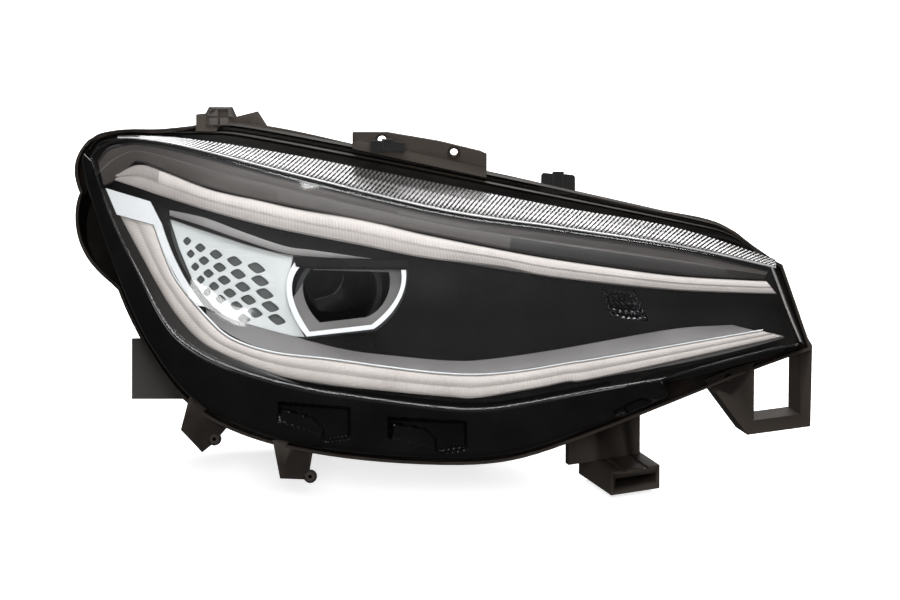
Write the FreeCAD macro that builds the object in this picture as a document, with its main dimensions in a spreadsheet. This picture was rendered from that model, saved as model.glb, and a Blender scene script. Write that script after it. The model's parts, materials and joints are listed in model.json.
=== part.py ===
"""A right-hand LED headlight assembly for a car, in millimetres.

Row frame: -Y is the car's forward direction, +X runs from the outer side of the car towards its
middle, +Z is up. The origin is the locating hole in the upper centre bracket.

The styled front follows a swept and leaning surface, so it is drawn in a lamp frame: lamp X runs
along the lamp, lamp Y points into the housing and lamp Z up along the lens. LAMP carries that frame
into the row frame. The light module, its aiming gear and the lower brackets are square to the car.
"""

import FreeCAD, Part
import os
import re

import Sketcher
from FreeCAD import Placement, Rotation, Vector

doc = FreeCAD.newDocument("headlight")
sheet = doc.addObject("Spreadsheet::Sheet", "Dimensions")

DIMENSIONS = [
    # alias, value
    ("lamp_azimuth", -25), ("lamp_lean", -18),
    ("lamp_origin_x", -46), ("lamp_origin_y", -90), ("lamp_origin_z", -112),
    # lens surface and parting surface
    ("sweep_radius_inner", 1500), ("sweep_radius_outer", 900),
    ("wrap_start", 200), ("wrap_depth", 50), ("wrap_length", 157),
    ("lens_tilt", 0.10), ("lens_crown_radius", 450),
    ("parting_depth", 50), ("parting_tilt", 0.20),
    # shells
    ("lens_wall", 3), ("lens_foot", 10), ("flange_wall", 3), ("flange_depth", 22),
    ("bowl_wall", 3), ("bowl_front", 20), ("bowl_middle", 140), ("bowl_back", 235),
    ("lip_height", 5), ("seal_height", 8),
    # styled parts, depths behind the lens surface
    ("trim_wall", 2.5), ("collar_wall", 2), ("upper_trim_depth", 8),
    ("guide_depth", 9), ("guide_thickness", 8),
    ("side_trim_depth", 7), ("satin_depth", 12), ("bezel_depth", 26), ("panel_depth", 30),
    ("panel_thickness", 8), ("ring_depth", 22), ("shroud_depth", 34), ("shroud_end_y", 12),
    ("cornering_end", 44), ("board_wall", 1.6),
    # projector module, along the car's forward axis
    ("module_x", -106), ("module_z", -133), ("lens_apex_y", 18),
    ("projector_radius", 40), ("projector_sagitta", 12), ("projector_edge", 5),
    ("projector_flat", 34), ("holder_radius", 45), ("holder_depth", 18),
    ("swivel_y", 54), ("pin_radius", 4), ("pin_gap", 0.06),
    ("optic_width", 80), ("optic_height", 72), ("optic_depth", 46),
    ("board_thickness", 1.6), ("sink_width", 84), ("sink_height", 70), ("sink_base", 4),
    ("fin_depth", 26), ("fin_thickness", 2.2), ("fin_count", 12),
    ("fan_size", 58), ("fan_depth", 14), ("fan_bore", 26), ("rotor_radius", 25),
    ("rotor_hub", 10), ("blade_count", 7), ("blade_width", 2),
    # yoke and aiming gear
    ("yoke_width", 184), ("yoke_height", 126), ("yoke_thickness", 6),
    ("yoke_open_width", 126), ("yoke_open_height", 84), ("yoke_y", 108),
    ("arm_width", 34), ("arm_offset", 50), ("arm_thickness", 6), ("arm_front", 34),
    ("ball_radius", 6), ("socket_gap", 0.7), ("socket_wall_radius", 10), ("socket_past", 3),
    ("cup_outer", 8.7), ("seat_radius", 9), ("seat_wall_radius", 12),
    ("pivot_x", -189), ("pivot_y", 130), ("pivot_z", -82),
    ("aim_arm", 164), ("levelling_arm", 100), ("spindle_radius", 3), ("screw_radius", 4),
    ("motor_radius", 19), ("motor_length", 38),
    # rear service opening
    ("neck_x", -165), ("neck_z", 45), ("neck_radius", 46), ("neck_wall", 4), ("neck_height", 14),
    ("cap_gap", 1), ("cap_wall", 2.5),
    # control units, connector
    ("unit_width", 112), ("unit_depth", 78), ("unit_height", 22), ("unit_fin", 4),
    ("unit_fin_pitch", 8), ("driver_depth", 60),
    ("plug_width", 48), ("plug_height", 22), ("plug_length", 26), ("plug_wall", 2),
    ("pin_count", 7),
    # brackets
    ("plate_thickness", 3), ("locating_hole", 3.5), ("loop_depth", 25), ("guide_box_width", 50),
    ("guide_box_height", 23), ("guide_box_depth", 70), ("guide_slot_width", 42),
    ("guide_slot_height", 9), ("tab_depth", 16), ("tab_pin_radius", 4.6), ("tab_boss_radius", 6.2),
    ("tab_hole", 1.8),
    ("side_hole", 4), ("screw_head", 5.5), ("screw_head_height", 3), ("screw_shank", 2.4),
]

for row, (alias, value) in enumerate(DIMENSIONS, start=1):
    sheet.set(f"A{row}", alias)
    sheet.set(f"B{row}", str(value))
    sheet.setAlias(f"B{row}", alias)
doc.recompute()


def dim(alias):
    """A driving dimension, as a number."""
    return float(sheet.get(alias))


LAMP = Placement(
    Vector(dim("lamp_origin_x"), dim("lamp_origin_y"), dim("lamp_origin_z")),
    Rotation(Vector(0, 0, 1), dim("lamp_azimuth")) * Rotation(Vector(1, 0, 0), dim("lamp_lean")),
)
TURN = Rotation(Vector(0, 0, 1), dim("lamp_azimuth"))
FORWARD = Rotation(Vector(1, 0, 0), 90)  # a shape drawn along +Z then points along -Y
PARTS = []


def keep(obj, label, placement=None):
    """Names a finished sub-part and adds it to those that are written out."""
    obj.Label = label
    if placement is not None:
        obj.Placement = placement
    PARTS.append(obj)
    return obj


def feature(label, shape, placement=None):
    """A sub-part whose shape is worked out with Part's own functions."""
    obj = doc.addObject("Part::Feature", label)
    obj.Shape = shape
    return keep(obj, label, placement or Placement())


def at(x, y, z):
    """A point of the lamp frame, in the row frame."""
    return LAMP.multVec(Vector(x, y, z))


# ---------------------------------------------------------------- surfaces of the styled front


def sweep(x):
    """How far the lens surface has swept back at lamp X, seen from above."""
    if x > 0:
        return x * x / (2 * dim("sweep_radius_inner"))
    back = x * x / (2 * dim("sweep_radius_outer"))
    past = max(0.0, -x - dim("wrap_start"))
    return back + dim("wrap_depth") * (past / dim("wrap_length")) ** 2


def lens_surface(x, z):
    """Lamp Y of the lens's outer face."""
    return sweep(x) + dim("lens_tilt") * z + z * z / (2 * dim("lens_crown_radius"))


def parting_surface(x, z):
    """Lamp Y of the plane where the housing's flange begins."""
    return sweep(x) + dim("parting_depth") + dim("parting_tilt") * z


def surface_face(height, half_width=400, half_height=260, columns=33, rows=11):
    """A smooth face through a height function of lamp X and Z."""
    grid = []
    for i in range(columns):
        x = -half_width + 2 * half_width * i / (columns - 1)
        line = []
        for j in range(rows):
            z = -half_height + 2 * half_height * j / (rows - 1)
            line.append(Vector(x, height(x, z), z))
        grid.append(line)
    surface = Part.BSplineSurface()
    surface.interpolate(grid)
    return surface.toShape()


LENS_FACE = surface_face(lens_surface)
PARTING_FACE = surface_face(parting_surface)


def layer(face, near, far):
    """The space between two copies of a face, moved near and far along lamp Y."""
    moved = face.copy()
    moved.translate(Vector(0, near, 0))
    return moved.extrude(Vector(0, far - near, 0))


def smooth_edge(points):
    """A line through two points, or a spline through more."""
    if len(points) == 2:
        return Part.makeLine(*points)
    curve = Part.BSplineCurve()
    curve.interpolate(points)
    return curve.toShape()


def outline(*runs):
    """A closed flat face in the lamp's XZ plane. A run of two points is a line, a longer one a spline."""
    return Part.Face(Part.Wire([smooth_edge([Vector(x, 0, z) for x, z in run]) for run in runs]))


def prism(face):
    """An outline carried through the whole depth of the lamp."""
    start = face.copy()
    start.translate(Vector(0, -80, 0))
    return start.extrude(Vector(0, 480, 0))


def slab(face, near, far, of=None):
    """The part of a layer behind the lens surface that lies inside an outline."""
    return prism(face).common(layer(of or LENS_FACE, near, far))


def inset(face, distance):
    """An outline moved inwards by a distance, with splines for its curved edges."""
    edges = []
    for edge in face.OuterWire.makeOffset2D(-distance).OrderedEdges:
        straight = isinstance(edge.Curve, Part.Line)
        count = 2 if straight else max(4, int(edge.Length / 14))
        edges.append(smooth_edge(edge.discretize(Number=count)))
    return Part.Face(Part.Wire(edges))


def largest(shape):
    """The biggest solid of a shape."""
    return max(shape.Solids, key=lambda solid: solid.Volume)


# ---------------------------------------------------------------- outlines, in lamp X and Z

FLANGE_TOP = [
    (-342, 151), (-326, 158), (-302, 161), (-270, 160), (-225, 166), (-195, 166), (-95, 147),
    (61, 115), (209, 82), (258, 69), (282, 52), (311, 33),
]
FLANGE_LOW = [
    (338, -46), (284, -65), (203, -97), (118, -130), (57, -149), (-16, -153), (-112, -145),
    (-180, -130), (-243, -98), (-283, -48), (-308, 0), (-338, 77), (-355, 125), (-342, 151),
]
FLANGE = outline(FLANGE_TOP, [(311, 33), (338, -46)], FLANGE_LOW)

LENS_TOP = [
    (-332, 145), (-318, 151), (-290, 154), (-223, 150), (-140, 134), (-8, 108), (99, 86),
    (209, 66), (262, 58), (303, 32),
]
LENS_RIGHT = [(303, 32), (331, -41)]
LENS_LOW = [(331, -41), (284, -50), (200, -74)]
LENS_POCKET = [(200, -74), (198, -91)]
LENS_SKIRT = [
    (198, -91), (116, -124), (55, -143), (-16, -147), (-110, -139), (-177, -124), (-238, -93),
    (-277, -46), (-302, 2), (-331, 78), (-345, 125), (-332, 145),
]
LENS = outline(LENS_TOP, LENS_RIGHT, LENS_LOW, LENS_POCKET, LENS_SKIRT)

CREASE = [(-300, 154), (-245, 144), (-140, 116), (-8, 84), (99, 68), (209, 51), (330, 24)]
RIB_TOP = [(-300, 156), (-238, 150), (-140, 134), (-8, 108), (99, 87), (209, 68), (330, 34)]

WINDOW_LOW = [
    (-346, 160), (-322, 78), (-293, 24), (-265, -23), (-237, -48), (-195, -67), (-139, -82),
    (-9, -100), (28, -102), (65, -98), (139, -84), (232, -66), (350, -44),
]
WINDOW = outline(WINDOW_LOW, [(350, -44), (350, 230)], [(350, 230), (-346, 230)], [(-346, 230), (-346, 160)])

BEZEL_TOP = [(-312, 130), (-290, 138), (-245, 134), (-140, 107), (-8, 75), (99, 59), (209, 43), (298, 24)]
BEZEL_LOW = [
    (318, -34), (232, -59), (139, -77), (65, -91), (28, -95), (-9, -93), (-139, -75), (-195, -60),
    (-233, -41), (-259, -16), (-286, 28), (-314, 84), (-312, 130),
]
BEZEL = outline(BEZEL_TOP, [(298, 24), (318, -34)], BEZEL_LOW)

GUIDE_TOP = [
    (-310, 116), (-292, 126), (-224, 103), (-139, 84), (-23, 60), (88, 39), (209, 22.5), (294, 17.5),
]
GUIDE_LOW = [
    (303, 7), (270, 6.5), (149, 14.5), (28, 31.6), (-82, 50.7), (-179, 70.7), (-268, 96.7), (-310, 112),
]
UPPER_GUIDE = outline(GUIDE_TOP, [(294, 17.5), (303, 7)], GUIDE_LOW, [(-310, 112), (-310, 116)])

TRIM_TOP = [(-300, 134), (-245, 133), (-140, 106), (-8, 74), (99, 58), (209, 42), (294, 24)]
TRIM_LOW = [(290, 18.5), (209, 24), (88, 40.5), (-23, 61.5), (-139, 85.5), (-224, 104.5), (-287, 127.5)]
UPPER_TRIM = outline(TRIM_TOP, [(294, 24), (290, 18.5)], TRIM_LOW, [(-287, 127.5), (-300, 134)])

LIGHT_TOP = [
    (-277, 69), (-251, 12), (-224, -20), (-202, -37), (-165, -52), (-47, -68.5), (10, -76), (64, -70.5),
    (139, -58), (290, -31),
]
LIGHT_LOW = [
    (312, -35), (139, -72), (80, -81), (26, -89), (-40, -86), (-115, -79), (-165, -69), (-214, -49),
    (-239, -32), (-263, -3), (-288, 40), (-308, 78),
]
LOWER_GUIDE = outline(LIGHT_TOP, [(290, -31), (312, -35)], LIGHT_LOW, [(-308, 78), (-277, 69)])

SATIN_TOP = [
    (-226, -10), (-192, -21), (-152, -32), (-96, -46), (-47, -52), (0, -56), (32, -55), (97, -46), (205, -27),
]
SATIN_LOW = [
    (285, -29.5), (139, -56.5), (64, -69), (10, -74.5), (-47, -67), (-165, -50.5), (-200, -35.5), (-226, -15),
]
SATIN = outline(SATIN_TOP, [(205, -27), (285, -29.5)], SATIN_LOW, [(-226, -15), (-226, -10)])

SIDE_TRIM = outline(
    [(-323, 105), (-280, 92)], [(-280, 92), (-269, 71)],
    [(-269, 71), (-243, 14), (-229, -6)], [(-229, -6), (-236, -5)],
    [(-236, -5), (-250, 14), (-276, 70)], [(-276, 70), (-312, 80)], [(-312, 80), (-323, 105)],
)

RING_OUTER = outline(
    [(-143, 37), (-42, 34)], [(-42, 34), (-42, 12), (-52, -9), (-71, -27)],
    [(-71, -27), (-133, -34)], [(-133, -34), (-148, -9), (-152, 12), (-143, 37)],
)
RING_INNER = outline(
    [(-137.5, 33), (-46, 30)], [(-46, 30), (-46, 12), (-56, -7), (-73, -23)],
    [(-73, -23), (-130.5, -29.5)], [(-130.5, -29.5), (-143, -7), (-147, 12), (-137.5, 33)],
)
SHROUD_INNER = outline(
    [(-131, 28), (-57, 26)], [(-57, 26), (-57, 8), (-66, -8), (-78, -16)],
    [(-78, -16), (-121, -21)], [(-121, -21), (-133, -5), (-137, 12), (-131, 28)],
)

PANEL = outline(
    [(-262, 74), (-214, 58), (-165, 43), (-143.5, 38.5)],
    [(-143.5, 38.5), (-153, 12), (-149, -9), (-134, -35)],
    [(-134, -35), (-160, -33), (-192, -24), (-222, -6)], [(-222, -6), (-240, 20), (-262, 74)],
)
EYE = outline(
    [(-266, 79), (-214, 62), (-165, 47), (-132, 41.5), (-38, 39)],
    [(-38, 39), (-38, 12), (-48, -11), (-69, -31)],
    [(-69, -31), (-134, -38)], [(-134, -38), (-160, -36), (-192, -27), (-224, -7)],
    [(-224, -7), (-244, 18), (-266, 79)],
)
CORNERING = outline(
    [(140, 10), (172, 9)], [(172, 9), (185, -20)], [(185, -20), (150, -16)], [(150, -16), (140, 10)],
)

# Bowl of the housing: one smooth closed curve at each depth
BOWL_FRONT = [
    (-318, 70), (-312, 118), (-280, 138), (-200, 133), (-70, 108), (100, 74), (232, 46), (290, 14),
    (302, -22), (210, -74), (110, -115), (0, -138), (-130, -130), (-222, -96), (-286, -14),
]
BOWL_MIDDLE = [
    (-352, 72), (-342, 118), (-290, 138), (-200, 134), (-70, 114), (50, 86), (140, 54), (180, 16),
    (174, -20), (120, -58), (50, -88), (-40, -106), (-130, -106), (-222, -80), (-288, -10),
]
BOWL_BACK = [
    (-348, 66), (-332, 108), (-285, 128), (-200, 128), (-70, 114), (0, 96), (48, 66), (62, 24),
    (52, -18), (12, -56), (-60, -82), (-140, -90), (-212, -80), (-266, -50), (-306, 0),
]


def bowl(shrink, back):
    """The bowl as a solid, its curves moved in by shrink."""
    wires = []
    depths = (dim("bowl_front"), dim("bowl_middle"), back)
    for points, depth in zip((BOWL_FRONT, BOWL_MIDDLE, BOWL_BACK), depths):
        ring = [Vector(x, depth, z) for x, z in points]
        moved = []
        for i, point in enumerate(ring):
            along = (ring[(i + 1) % len(ring)] - ring[i - 1]).normalize()
            moved.append(point + Vector(along.z, 0, -along.x) * shrink)
        curve = Part.BSplineCurve()
        curve.interpolate(moved, PeriodicFlag=True)
        wires.append(Part.Wire(curve.toShape()))
    return Part.makeLoft(wires, True)


# ---------------------------------------------------------------- housing and lens


def lamp_box(x0, x1, y0, y1, z0, z1):
    """A block between two corners of the lamp frame."""
    return Part.makeBox(x1 - x0, y1 - y0, z1 - z0, Vector(x0, y0, z0))


def lamp_cylinder(radius, x, z, y0, y1):
    """A cylinder along lamp Y."""
    return Part.makeCylinder(radius, y1 - y0, Vector(x, y0, z), Vector(0, 1, 0))


def row_cylinder(radius, start, length, direction=Vector(0, 1, 0)):
    """A cylinder placed in the row frame, returned in the lamp frame."""
    shape = Part.makeCylinder(radius, length, start, direction)
    shape.Placement = LAMP.inverse().multiply(shape.Placement)
    return shape


PIVOT = Vector(dim("pivot_x"), dim("pivot_y"), dim("pivot_z"))
AIM = PIVOT + Vector(dim("aim_arm"), 0, 0)
LEVEL = PIVOT - Vector(0, 0, dim("levelling_arm"))
BACK = dim("bowl_back")
UNIT_TOP = -116
UNIT_POSTS = [(-72, 134), (28, 134), (-72, 200), (28, 200)]


def arc_block(radius_in, radius_out, y0, y1, start, sweep_angle):
    """A block curved round the service opening's axis, from one angle to another."""
    centre = Vector(dim("neck_x"), y0, dim("neck_z"))
    outer = Part.makeCylinder(radius_out, y1 - y0, centre, Vector(0, 1, 0), sweep_angle)
    inner = Part.makeCylinder(radius_in, y1 - y0, centre, Vector(0, 1, 0), sweep_angle)
    block = outer.cut(inner)
    block.rotate(centre, Vector(0, 1, 0), start)
    return block


def make_housing():
    """The filled outer form of the housing, and the housing as a shell."""
    depth, wall = dim("flange_depth"), dim("flange_wall")
    tray = slab(FLANGE, 0, depth, PARTING_FACE)
    tray_inside = slab(inset(FLANGE, wall), -2, depth - wall, PARTING_FACE)
    bowl_outer = bowl(0, BACK).cut(layer(PARTING_FACE, -200, dim("lip_height")))
    channel = slab(FLANGE, -200, depth - wall, PARTING_FACE)
    channel = channel.cut(slab(inset(LENS, dim("lens_wall") + 1), -210, depth, PARTING_FACE))
    bowl_outer = bowl_outer.cut(channel)
    pads = [
        row_cylinder(11, AIM + Vector(0, 50, 0), 26),  # boss of the horizontal aiming screw
        row_cylinder(11, LEVEL + Vector(0, 80, 0), 30),  # boss of the vertical aiming screw
        lamp_cylinder(dim("neck_radius"), dim("neck_x"), dim("neck_z"), BACK - 3, BACK + dim("neck_height")),
    ]
    for x, y in UNIT_POSTS:
        pads.append(Part.makeCylinder(7, 60, Vector(x, y, UNIT_TOP)))
    for start in (0, 120, 240):
        radius = dim("neck_radius")
        pads.append(arc_block(radius - 1, radius + 2.2, BACK + 8, BACK + 11, start, 28))
    posts = [
        row_cylinder(7, PIVOT + Vector(0, 26, 0), 130),  # post of the fixed pivot
    ]
    outer = bowl_outer.fuse(pads)
    shell = tray.cut(tray_inside).fuse(outer)
    hollow = bowl(dim("bowl_wall"), BACK - dim("bowl_wall"))
    shell = shell.cut(hollow)
    reach = bowl(1, BACK - 1)
    shell = shell.fuse([post.common(reach) for post in posts])
    neck_inside = dim("neck_radius") - dim("neck_wall")
    cuts = [
        row_cylinder(dim("screw_radius") + 0.3, AIM + Vector(0, 30, 0), 80),
        row_cylinder(dim("screw_radius") + 1, LEVEL + Vector(0, 50, 0), 80),
        row_cylinder(2.6, PIVOT + Vector(0, 20, 0), 28),
        lamp_cylinder(neck_inside, dim("neck_x"), dim("neck_z"), BACK - 20, BACK + 30),
        lamp_box(-26, 18, BACK - 20, BACK + 10, 10, 28),  # opening behind the main connector
        lamp_cylinder(4, -268, 92, BACK - 20, BACK + 10),  # vents
        lamp_cylinder(4, -40, 92, BACK - 20, BACK + 10),
    ]
    for x, y in UNIT_POSTS:
        cuts.append(Part.makeCylinder(dim("screw_shank"), 12, Vector(x, y, UNIT_TOP)))
    shell = shell.cut(cuts)
    filled = tray.fuse(outer)
    return filled, shell.removeSplitter()


def rib_cutter(shift):
    """The space in front of the lens's upper band, which falls back from the crease to the rib line."""
    low, high = [], []
    for (x, zc), (_, zr) in zip(CREASE, RIB_TOP):
        y = lens_surface(x, zc)
        rise = max(zr - zc, 4)
        low.append(Vector(x, y - 1.55 * 6, zc - 6) + shift)
        high.append(Vector(x, y + 1.55 * 3 * rise, zc + 3 * rise) + shift)
    edges = []
    for points in (low, high):
        curve = Part.BSplineCurve()
        curve.interpolate(points)
        edges.append(curve.toShape())
    band = Part.makeRuledSurface(*edges)
    return band.extrude(Vector(0, -260, 0))


def make_lens():
    """The lens as a thin tray: front face, ribbed upper band and side walls."""
    wall, foot = dim("lens_wall"), dim("lens_foot")
    deep = layer(PARTING_FACE, -300, foot)
    outer = slab(LENS, 0, 320).common(deep).cut(rib_cutter(Vector(0, 0, 0)))
    hollow = slab(inset(LENS, wall), wall, 330).cut(rib_cutter(Vector(0, wall, -wall)))
    return outer.cut(hollow)


filled_housing, housing_shell = make_housing()
lens_shell = make_lens().cut(housing_shell)
window_prism = prism(WINDOW)
feature("housing", housing_shell, LAMP)
feature("outer_lens", largest(lens_shell.common(window_prism)), LAMP)
feature("lens_border", largest(lens_shell.cut(window_prism)), LAMP)

seal_foot = dim("lens_foot")
seal = slab(LENS, seal_foot, seal_foot + dim("seal_height"), PARTING_FACE)
seal = seal.cut(slab(inset(LENS, 2.5), seal_foot - 1, seal_foot + 12, PARTING_FACE)).cut(housing_shell)
feature("lens_seal", seal, LAMP)


# ---------------------------------------------------------------- styled parts behind the lens


def strip(face, near, far, label):
    """A moulded part that fills an outline between two depths behind the lens."""
    return feature(label, slab(face, near, far), LAMP)


def lug(box, inner):
    """A fixing lug: the piece of a block that reaches from an inner point to the nearest wall."""
    behind_trims = layer(LENS_FACE, dim("bezel_depth"), 300)
    pieces = box.common(behind_trims).cut([housing_shell, lens_shell, seal]).Solids
    point = Part.Vertex(inner)
    return min(pieces, key=lambda piece: piece.distToShape(point)[0])


guide_end = dim("guide_depth") + dim("guide_thickness")
bezel_near = dim("bezel_depth")
bezel_far = bezel_near + dim("trim_wall")
strip(UPPER_GUIDE, dim("guide_depth"), guide_end, "upper_light_guide")
strip(UPPER_GUIDE, guide_end, bezel_near, "upper_guide_reflector")
strip(LOWER_GUIDE, dim("guide_depth"), guide_end, "lower_light_guide")
strip(LOWER_GUIDE, guide_end, bezel_near, "lower_guide_reflector")
strip(UPPER_TRIM.cut(UPPER_GUIDE).Faces[0], dim("upper_trim_depth"), bezel_near, "upper_trim")
strip(SATIN, dim("satin_depth"), bezel_near, "satin_trim")
strip(SIDE_TRIM, dim("side_trim_depth"), bezel_near, "side_trim")

panel_end = dim("panel_depth") + dim("panel_thickness")
collar_end = panel_end + 2
bezel = slab(BEZEL, bezel_near, bezel_far).cut([prism(EYE), prism(CORNERING)])
eye_inside = inset(EYE, dim("collar_wall"))
collar = slab(EYE, bezel_near, collar_end).cut(prism(eye_inside))
lugs = [
    lug(lamp_box(-210, -190, 70, 92, 116, 138), Vector(-200, 80, 118)),
    lug(lamp_box(170, 190, 42, 88, 40, 62), Vector(180, 50, 42)),
    lug(lamp_box(-180, -160, 34, 60, -122, -64), Vector(-170, 40, -66)),
    lug(lamp_box(150, 170, 32, 60, -101, -66), Vector(160, 38, -70)),
]
feature("bezel", bezel.fuse([collar] + lugs), LAMP)

reflector_end = dim("cornering_end")
cup = slab(inset(CORNERING, 3), bezel_near - 5, reflector_end - 3)
feature("cornering_reflector", slab(CORNERING, bezel_near, reflector_end).cut(cup), LAMP)
board_end = bezel_far + dim("board_wall")
for outline_face, label in ((UPPER_GUIDE, "upper_led_board"), (LOWER_GUIDE, "lower_led_board")):
    board = slab(outline_face, bezel_far, board_end).common(lamp_box(-120, 130, -50, 200, -200, 200))
    feature(label, board, LAMP)


def honeycomb_holes():
    """Rounded-diamond openings that spread out and grow towards the projector."""
    inside = inset(PANEL, 5.5)
    holes = []
    for i in range(7):
        for j in range(7):
            x = -244.2 + 3.0 * i + 0.45 * i * i + 12 * (1.18 ** j - 1) / 0.18
            z = 60 - 12.4 * i - 5.8 * j
            wide = 4.0 + 0.75 * j
            high = 4.4 + 0.15 * j
            if inside.isInside(Vector(x, 0, z), 0.1, True):
                corners = [
                    Vector(x - wide, 0, z + 0.45 * wide), Vector(x + 0.2 * high, 0, z + high),
                    Vector(x + wide, 0, z - 0.45 * wide), Vector(x - 0.2 * high, 0, z - high),
                ]
                holes.append(Part.Face(Part.makePolygon(corners + corners[:1])))
    return holes


strip(PANEL.cut(honeycomb_holes()).Faces[0], dim("panel_depth"), panel_end, "honeycomb_panel")
backing = slab(eye_inside, panel_end, collar_end).cut(prism(inset(RING_OUTER, 2)))
feature("honeycomb_backing", backing, LAMP)

ring = slab(RING_OUTER, dim("ring_depth"), panel_end).cut(prism(RING_INNER))
feature("projector_ring", ring, LAMP)
shroud = prism(RING_INNER).cut(prism(SHROUD_INNER))
shroud = shroud.cut(layer(LENS_FACE, -400, dim("shroud_depth")))
behind = Part.makeBox(900, 400, 900, Vector(-500, dim("shroud_end_y"), -500))
behind.Placement = LAMP.inverse()
shroud = shroud.cut(behind)
feature("projector_shroud", shroud, LAMP)

# ---------------------------------------------------------------- brackets on the housing


def polygon(points, y0, y1):
    """A flat-sided plate drawn in XZ and carried from y0 to y1."""
    corners = [Vector(x, y0, z) for x, z in points]
    return Part.Face(Part.makePolygon(corners + corners[:1])).extrude(Vector(0, y1 - y0, 0))


def into_lamp(shape, placement=Placement()):
    """A shape drawn in the row frame, carried into the lamp frame."""
    moved = shape.copy()
    moved.Placement = LAMP.inverse().multiply(placement)
    return moved


outer_bracket = polygon(
    [
        (-238, 158), (-238, 174), (-229, 175), (-226, 181), (-204, 181), (-200, 172), (-180, 177),
        (-171, 163), (-171, 158),
    ],
    109, 136,
)
for x in (-222, -211):
    for y in (112, 123):
        outer_bracket = outer_bracket.cut(lamp_box(x, x + 8, y, y + 8, 169, 190))
outer_bracket = largest(outer_bracket.cut([filled_housing, lens_shell]))
feature("upper_outer_bracket", outer_bracket, LAMP)

plate = polygon(
    [(-94.7, 9), (-94.7, 19.2), (-62.3, 19.2), (-14.7, 10.8), (24.3, 1), (30.7, -2), (30.7, -19), (0, -13)],
    0, dim("plate_thickness"),
)
bore = Part.makeCylinder(dim("locating_hole"), 20, Vector(0, -10, 0), Vector(0, 1, 0))
side_bore = Part.makeCylinder(dim("side_hole"), 20, Vector(-67, -10, 12), Vector(0, 1, 0))
plate = into_lamp(plate.cut([bore, side_bore]), Placement(Vector(), TURN))
shelf = polygon([(-91, 141), (34, 114), (34, 123), (-91, 150)], 58, 96)
centre_bracket = plate.fuse(shelf.cut(into_lamp(bore, Placement(Vector(), TURN)))).cut(filled_housing)
centre_bracket = largest(centre_bracket)
feature("upper_centre_bracket", centre_bracket, LAMP)

clips = []
for x0, y0, y1, z0, z1 in ((-74, 44, 66, 138, 150), (85, 78, 92, 96, 120)):
    slot = lamp_box(x0 + 8, x0 + 24, y0 - 1, y0 + 6, z0 - 1, z1 + 1)
    clip = lamp_box(x0, x0 + 32, y0, y1, z0, z1).cut(slot)
    clips.append(largest(clip.cut([filled_housing, centre_bracket])))
feature("bonnet_seal_clips", Part.makeCompound(clips), LAMP)

LOOP_OUTSIDE = [
    (284, -166), (293, -181), (292, -261), (226, -260), (193, -214), (215, -186), (232, -170),
]
loop = polygon(LOOP_OUTSIDE, -165, -140)
loop = loop.cut(polygon([(232.5, -246.5), (232.5, -150), (281, -150), (281, -247.3)], -170, -130))
loop = largest(into_lamp(loop).cut(filled_housing))
feature("inner_loop_bracket", loop, LAMP)

box = Part.makeBox(50, 70, 23, Vector(92, -150, -305)).cut(Part.makeBox(42, 60, 9, Vector(96, -151, -298)))
for x in (103, 125):
    box = box.cut(Part.makeBox(5, 72, 2, Vector(x, -151, -284)))
web = Part.makeBox(74, 7, 110, Vector(66, -112, -283))
rib = Part.makeBox(7, 36, 110, Vector(112, -110, -283))
guide = into_lamp(box.fuse([web, rib])).cut([filled_housing, lens_shell])
feature("lower_guide_bracket", largest(guide), LAMP)

tab = dim("tab_depth")
OUTER_TAB = [(-243, -90), (-251, -121), (-231, -142), (-221, -134), (-208, -119), (-208, -90)]
MIDDLE_TAB = [(-165, -130), (-158, -166), (-132, -167), (-128, -143), (-128, -130)]
for points, pin, y0, label in (
    (OUTER_TAB, (-219.5, -129.5), 60, "lower_outer_tab"),
    (MIDDLE_TAB, (-130, -164), 36, "lower_middle_tab"),
):
    hole = lamp_cylinder(dim("tab_hole"), *pin, y0 - 20, y0 + tab)
    boss = lamp_cylinder(dim("tab_boss_radius"), *pin, y0 - 1, y0 + tab + 2)
    nose = lamp_cylinder(dim("tab_pin_radius"), *pin, y0 - 9, y0)
    body = polygon(points, y0, y0 + tab).fuse([boss, nose])
    feature(label, largest(body.cut([filled_housing, lens_shell, hole])), LAMP)

clip = polygon([(234, -76), (288, -55), (262, -94)], 60, 70)
feature("lower_clip", largest(clip.cut([filled_housing, lens_shell, loop])), LAMP)

driver = lamp_box(-299, -236, 136, 136 + dim("driver_depth"), -93, -36)
driver = largest(driver.cut(filled_housing))
feature("side_driver_unit", driver, LAMP)

# ---------------------------------------------------------------- parts bound to the sheet


def formula(text):
    """A sheet expression written with the bare alias names."""
    return re.sub(r"[a-z]\w+", lambda word: f"Dimensions.{word[0]}", str(text))


def bind(obj, **values):
    """Binds the properties of an object to formulas."""
    for name, text in values.items():
        obj.setExpression(name.replace("__", "."), formula(text))
    return obj


def block(name, centre, x, y, z):
    """A box with formulas for its centre and its three sizes."""
    obj = bind(doc.addObject("Part::Box", name), Length=x, Width=y, Height=z)
    for axis, middle, size in zip("xyz", centre, (x, y, z)):
        obj.setExpression(f"Placement.Base.{axis}", formula(f"{middle} - ({size}) / 2"))
    return obj


TURNS = {
    "x": Rotation(Vector(0, 0, 1), Vector(1, 0, 0)),
    "y": Rotation(Vector(0, 0, 1), Vector(0, 1, 0)),
    "z": Rotation(),
}


def rod(name, start, radius, length, axis="y"):
    """A cylinder with formulas for its start, radius and length."""
    obj = bind(doc.addObject("Part::Cylinder", name), Radius=radius, Height=length)
    obj.Placement = Placement(Vector(), TURNS[axis])
    for letter, text in zip("xyz", start):
        obj.setExpression(f"Placement.Base.{letter}", formula(text))
    return obj


def ball(name, centre, radius):
    """A sphere with formulas for its centre and radius."""
    obj = bind(doc.addObject("Part::Sphere", name), Radius=radius)
    for letter, text in zip("xyz", centre):
        obj.setExpression(f"Placement.Base.{letter}", formula(text))
    return obj


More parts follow.
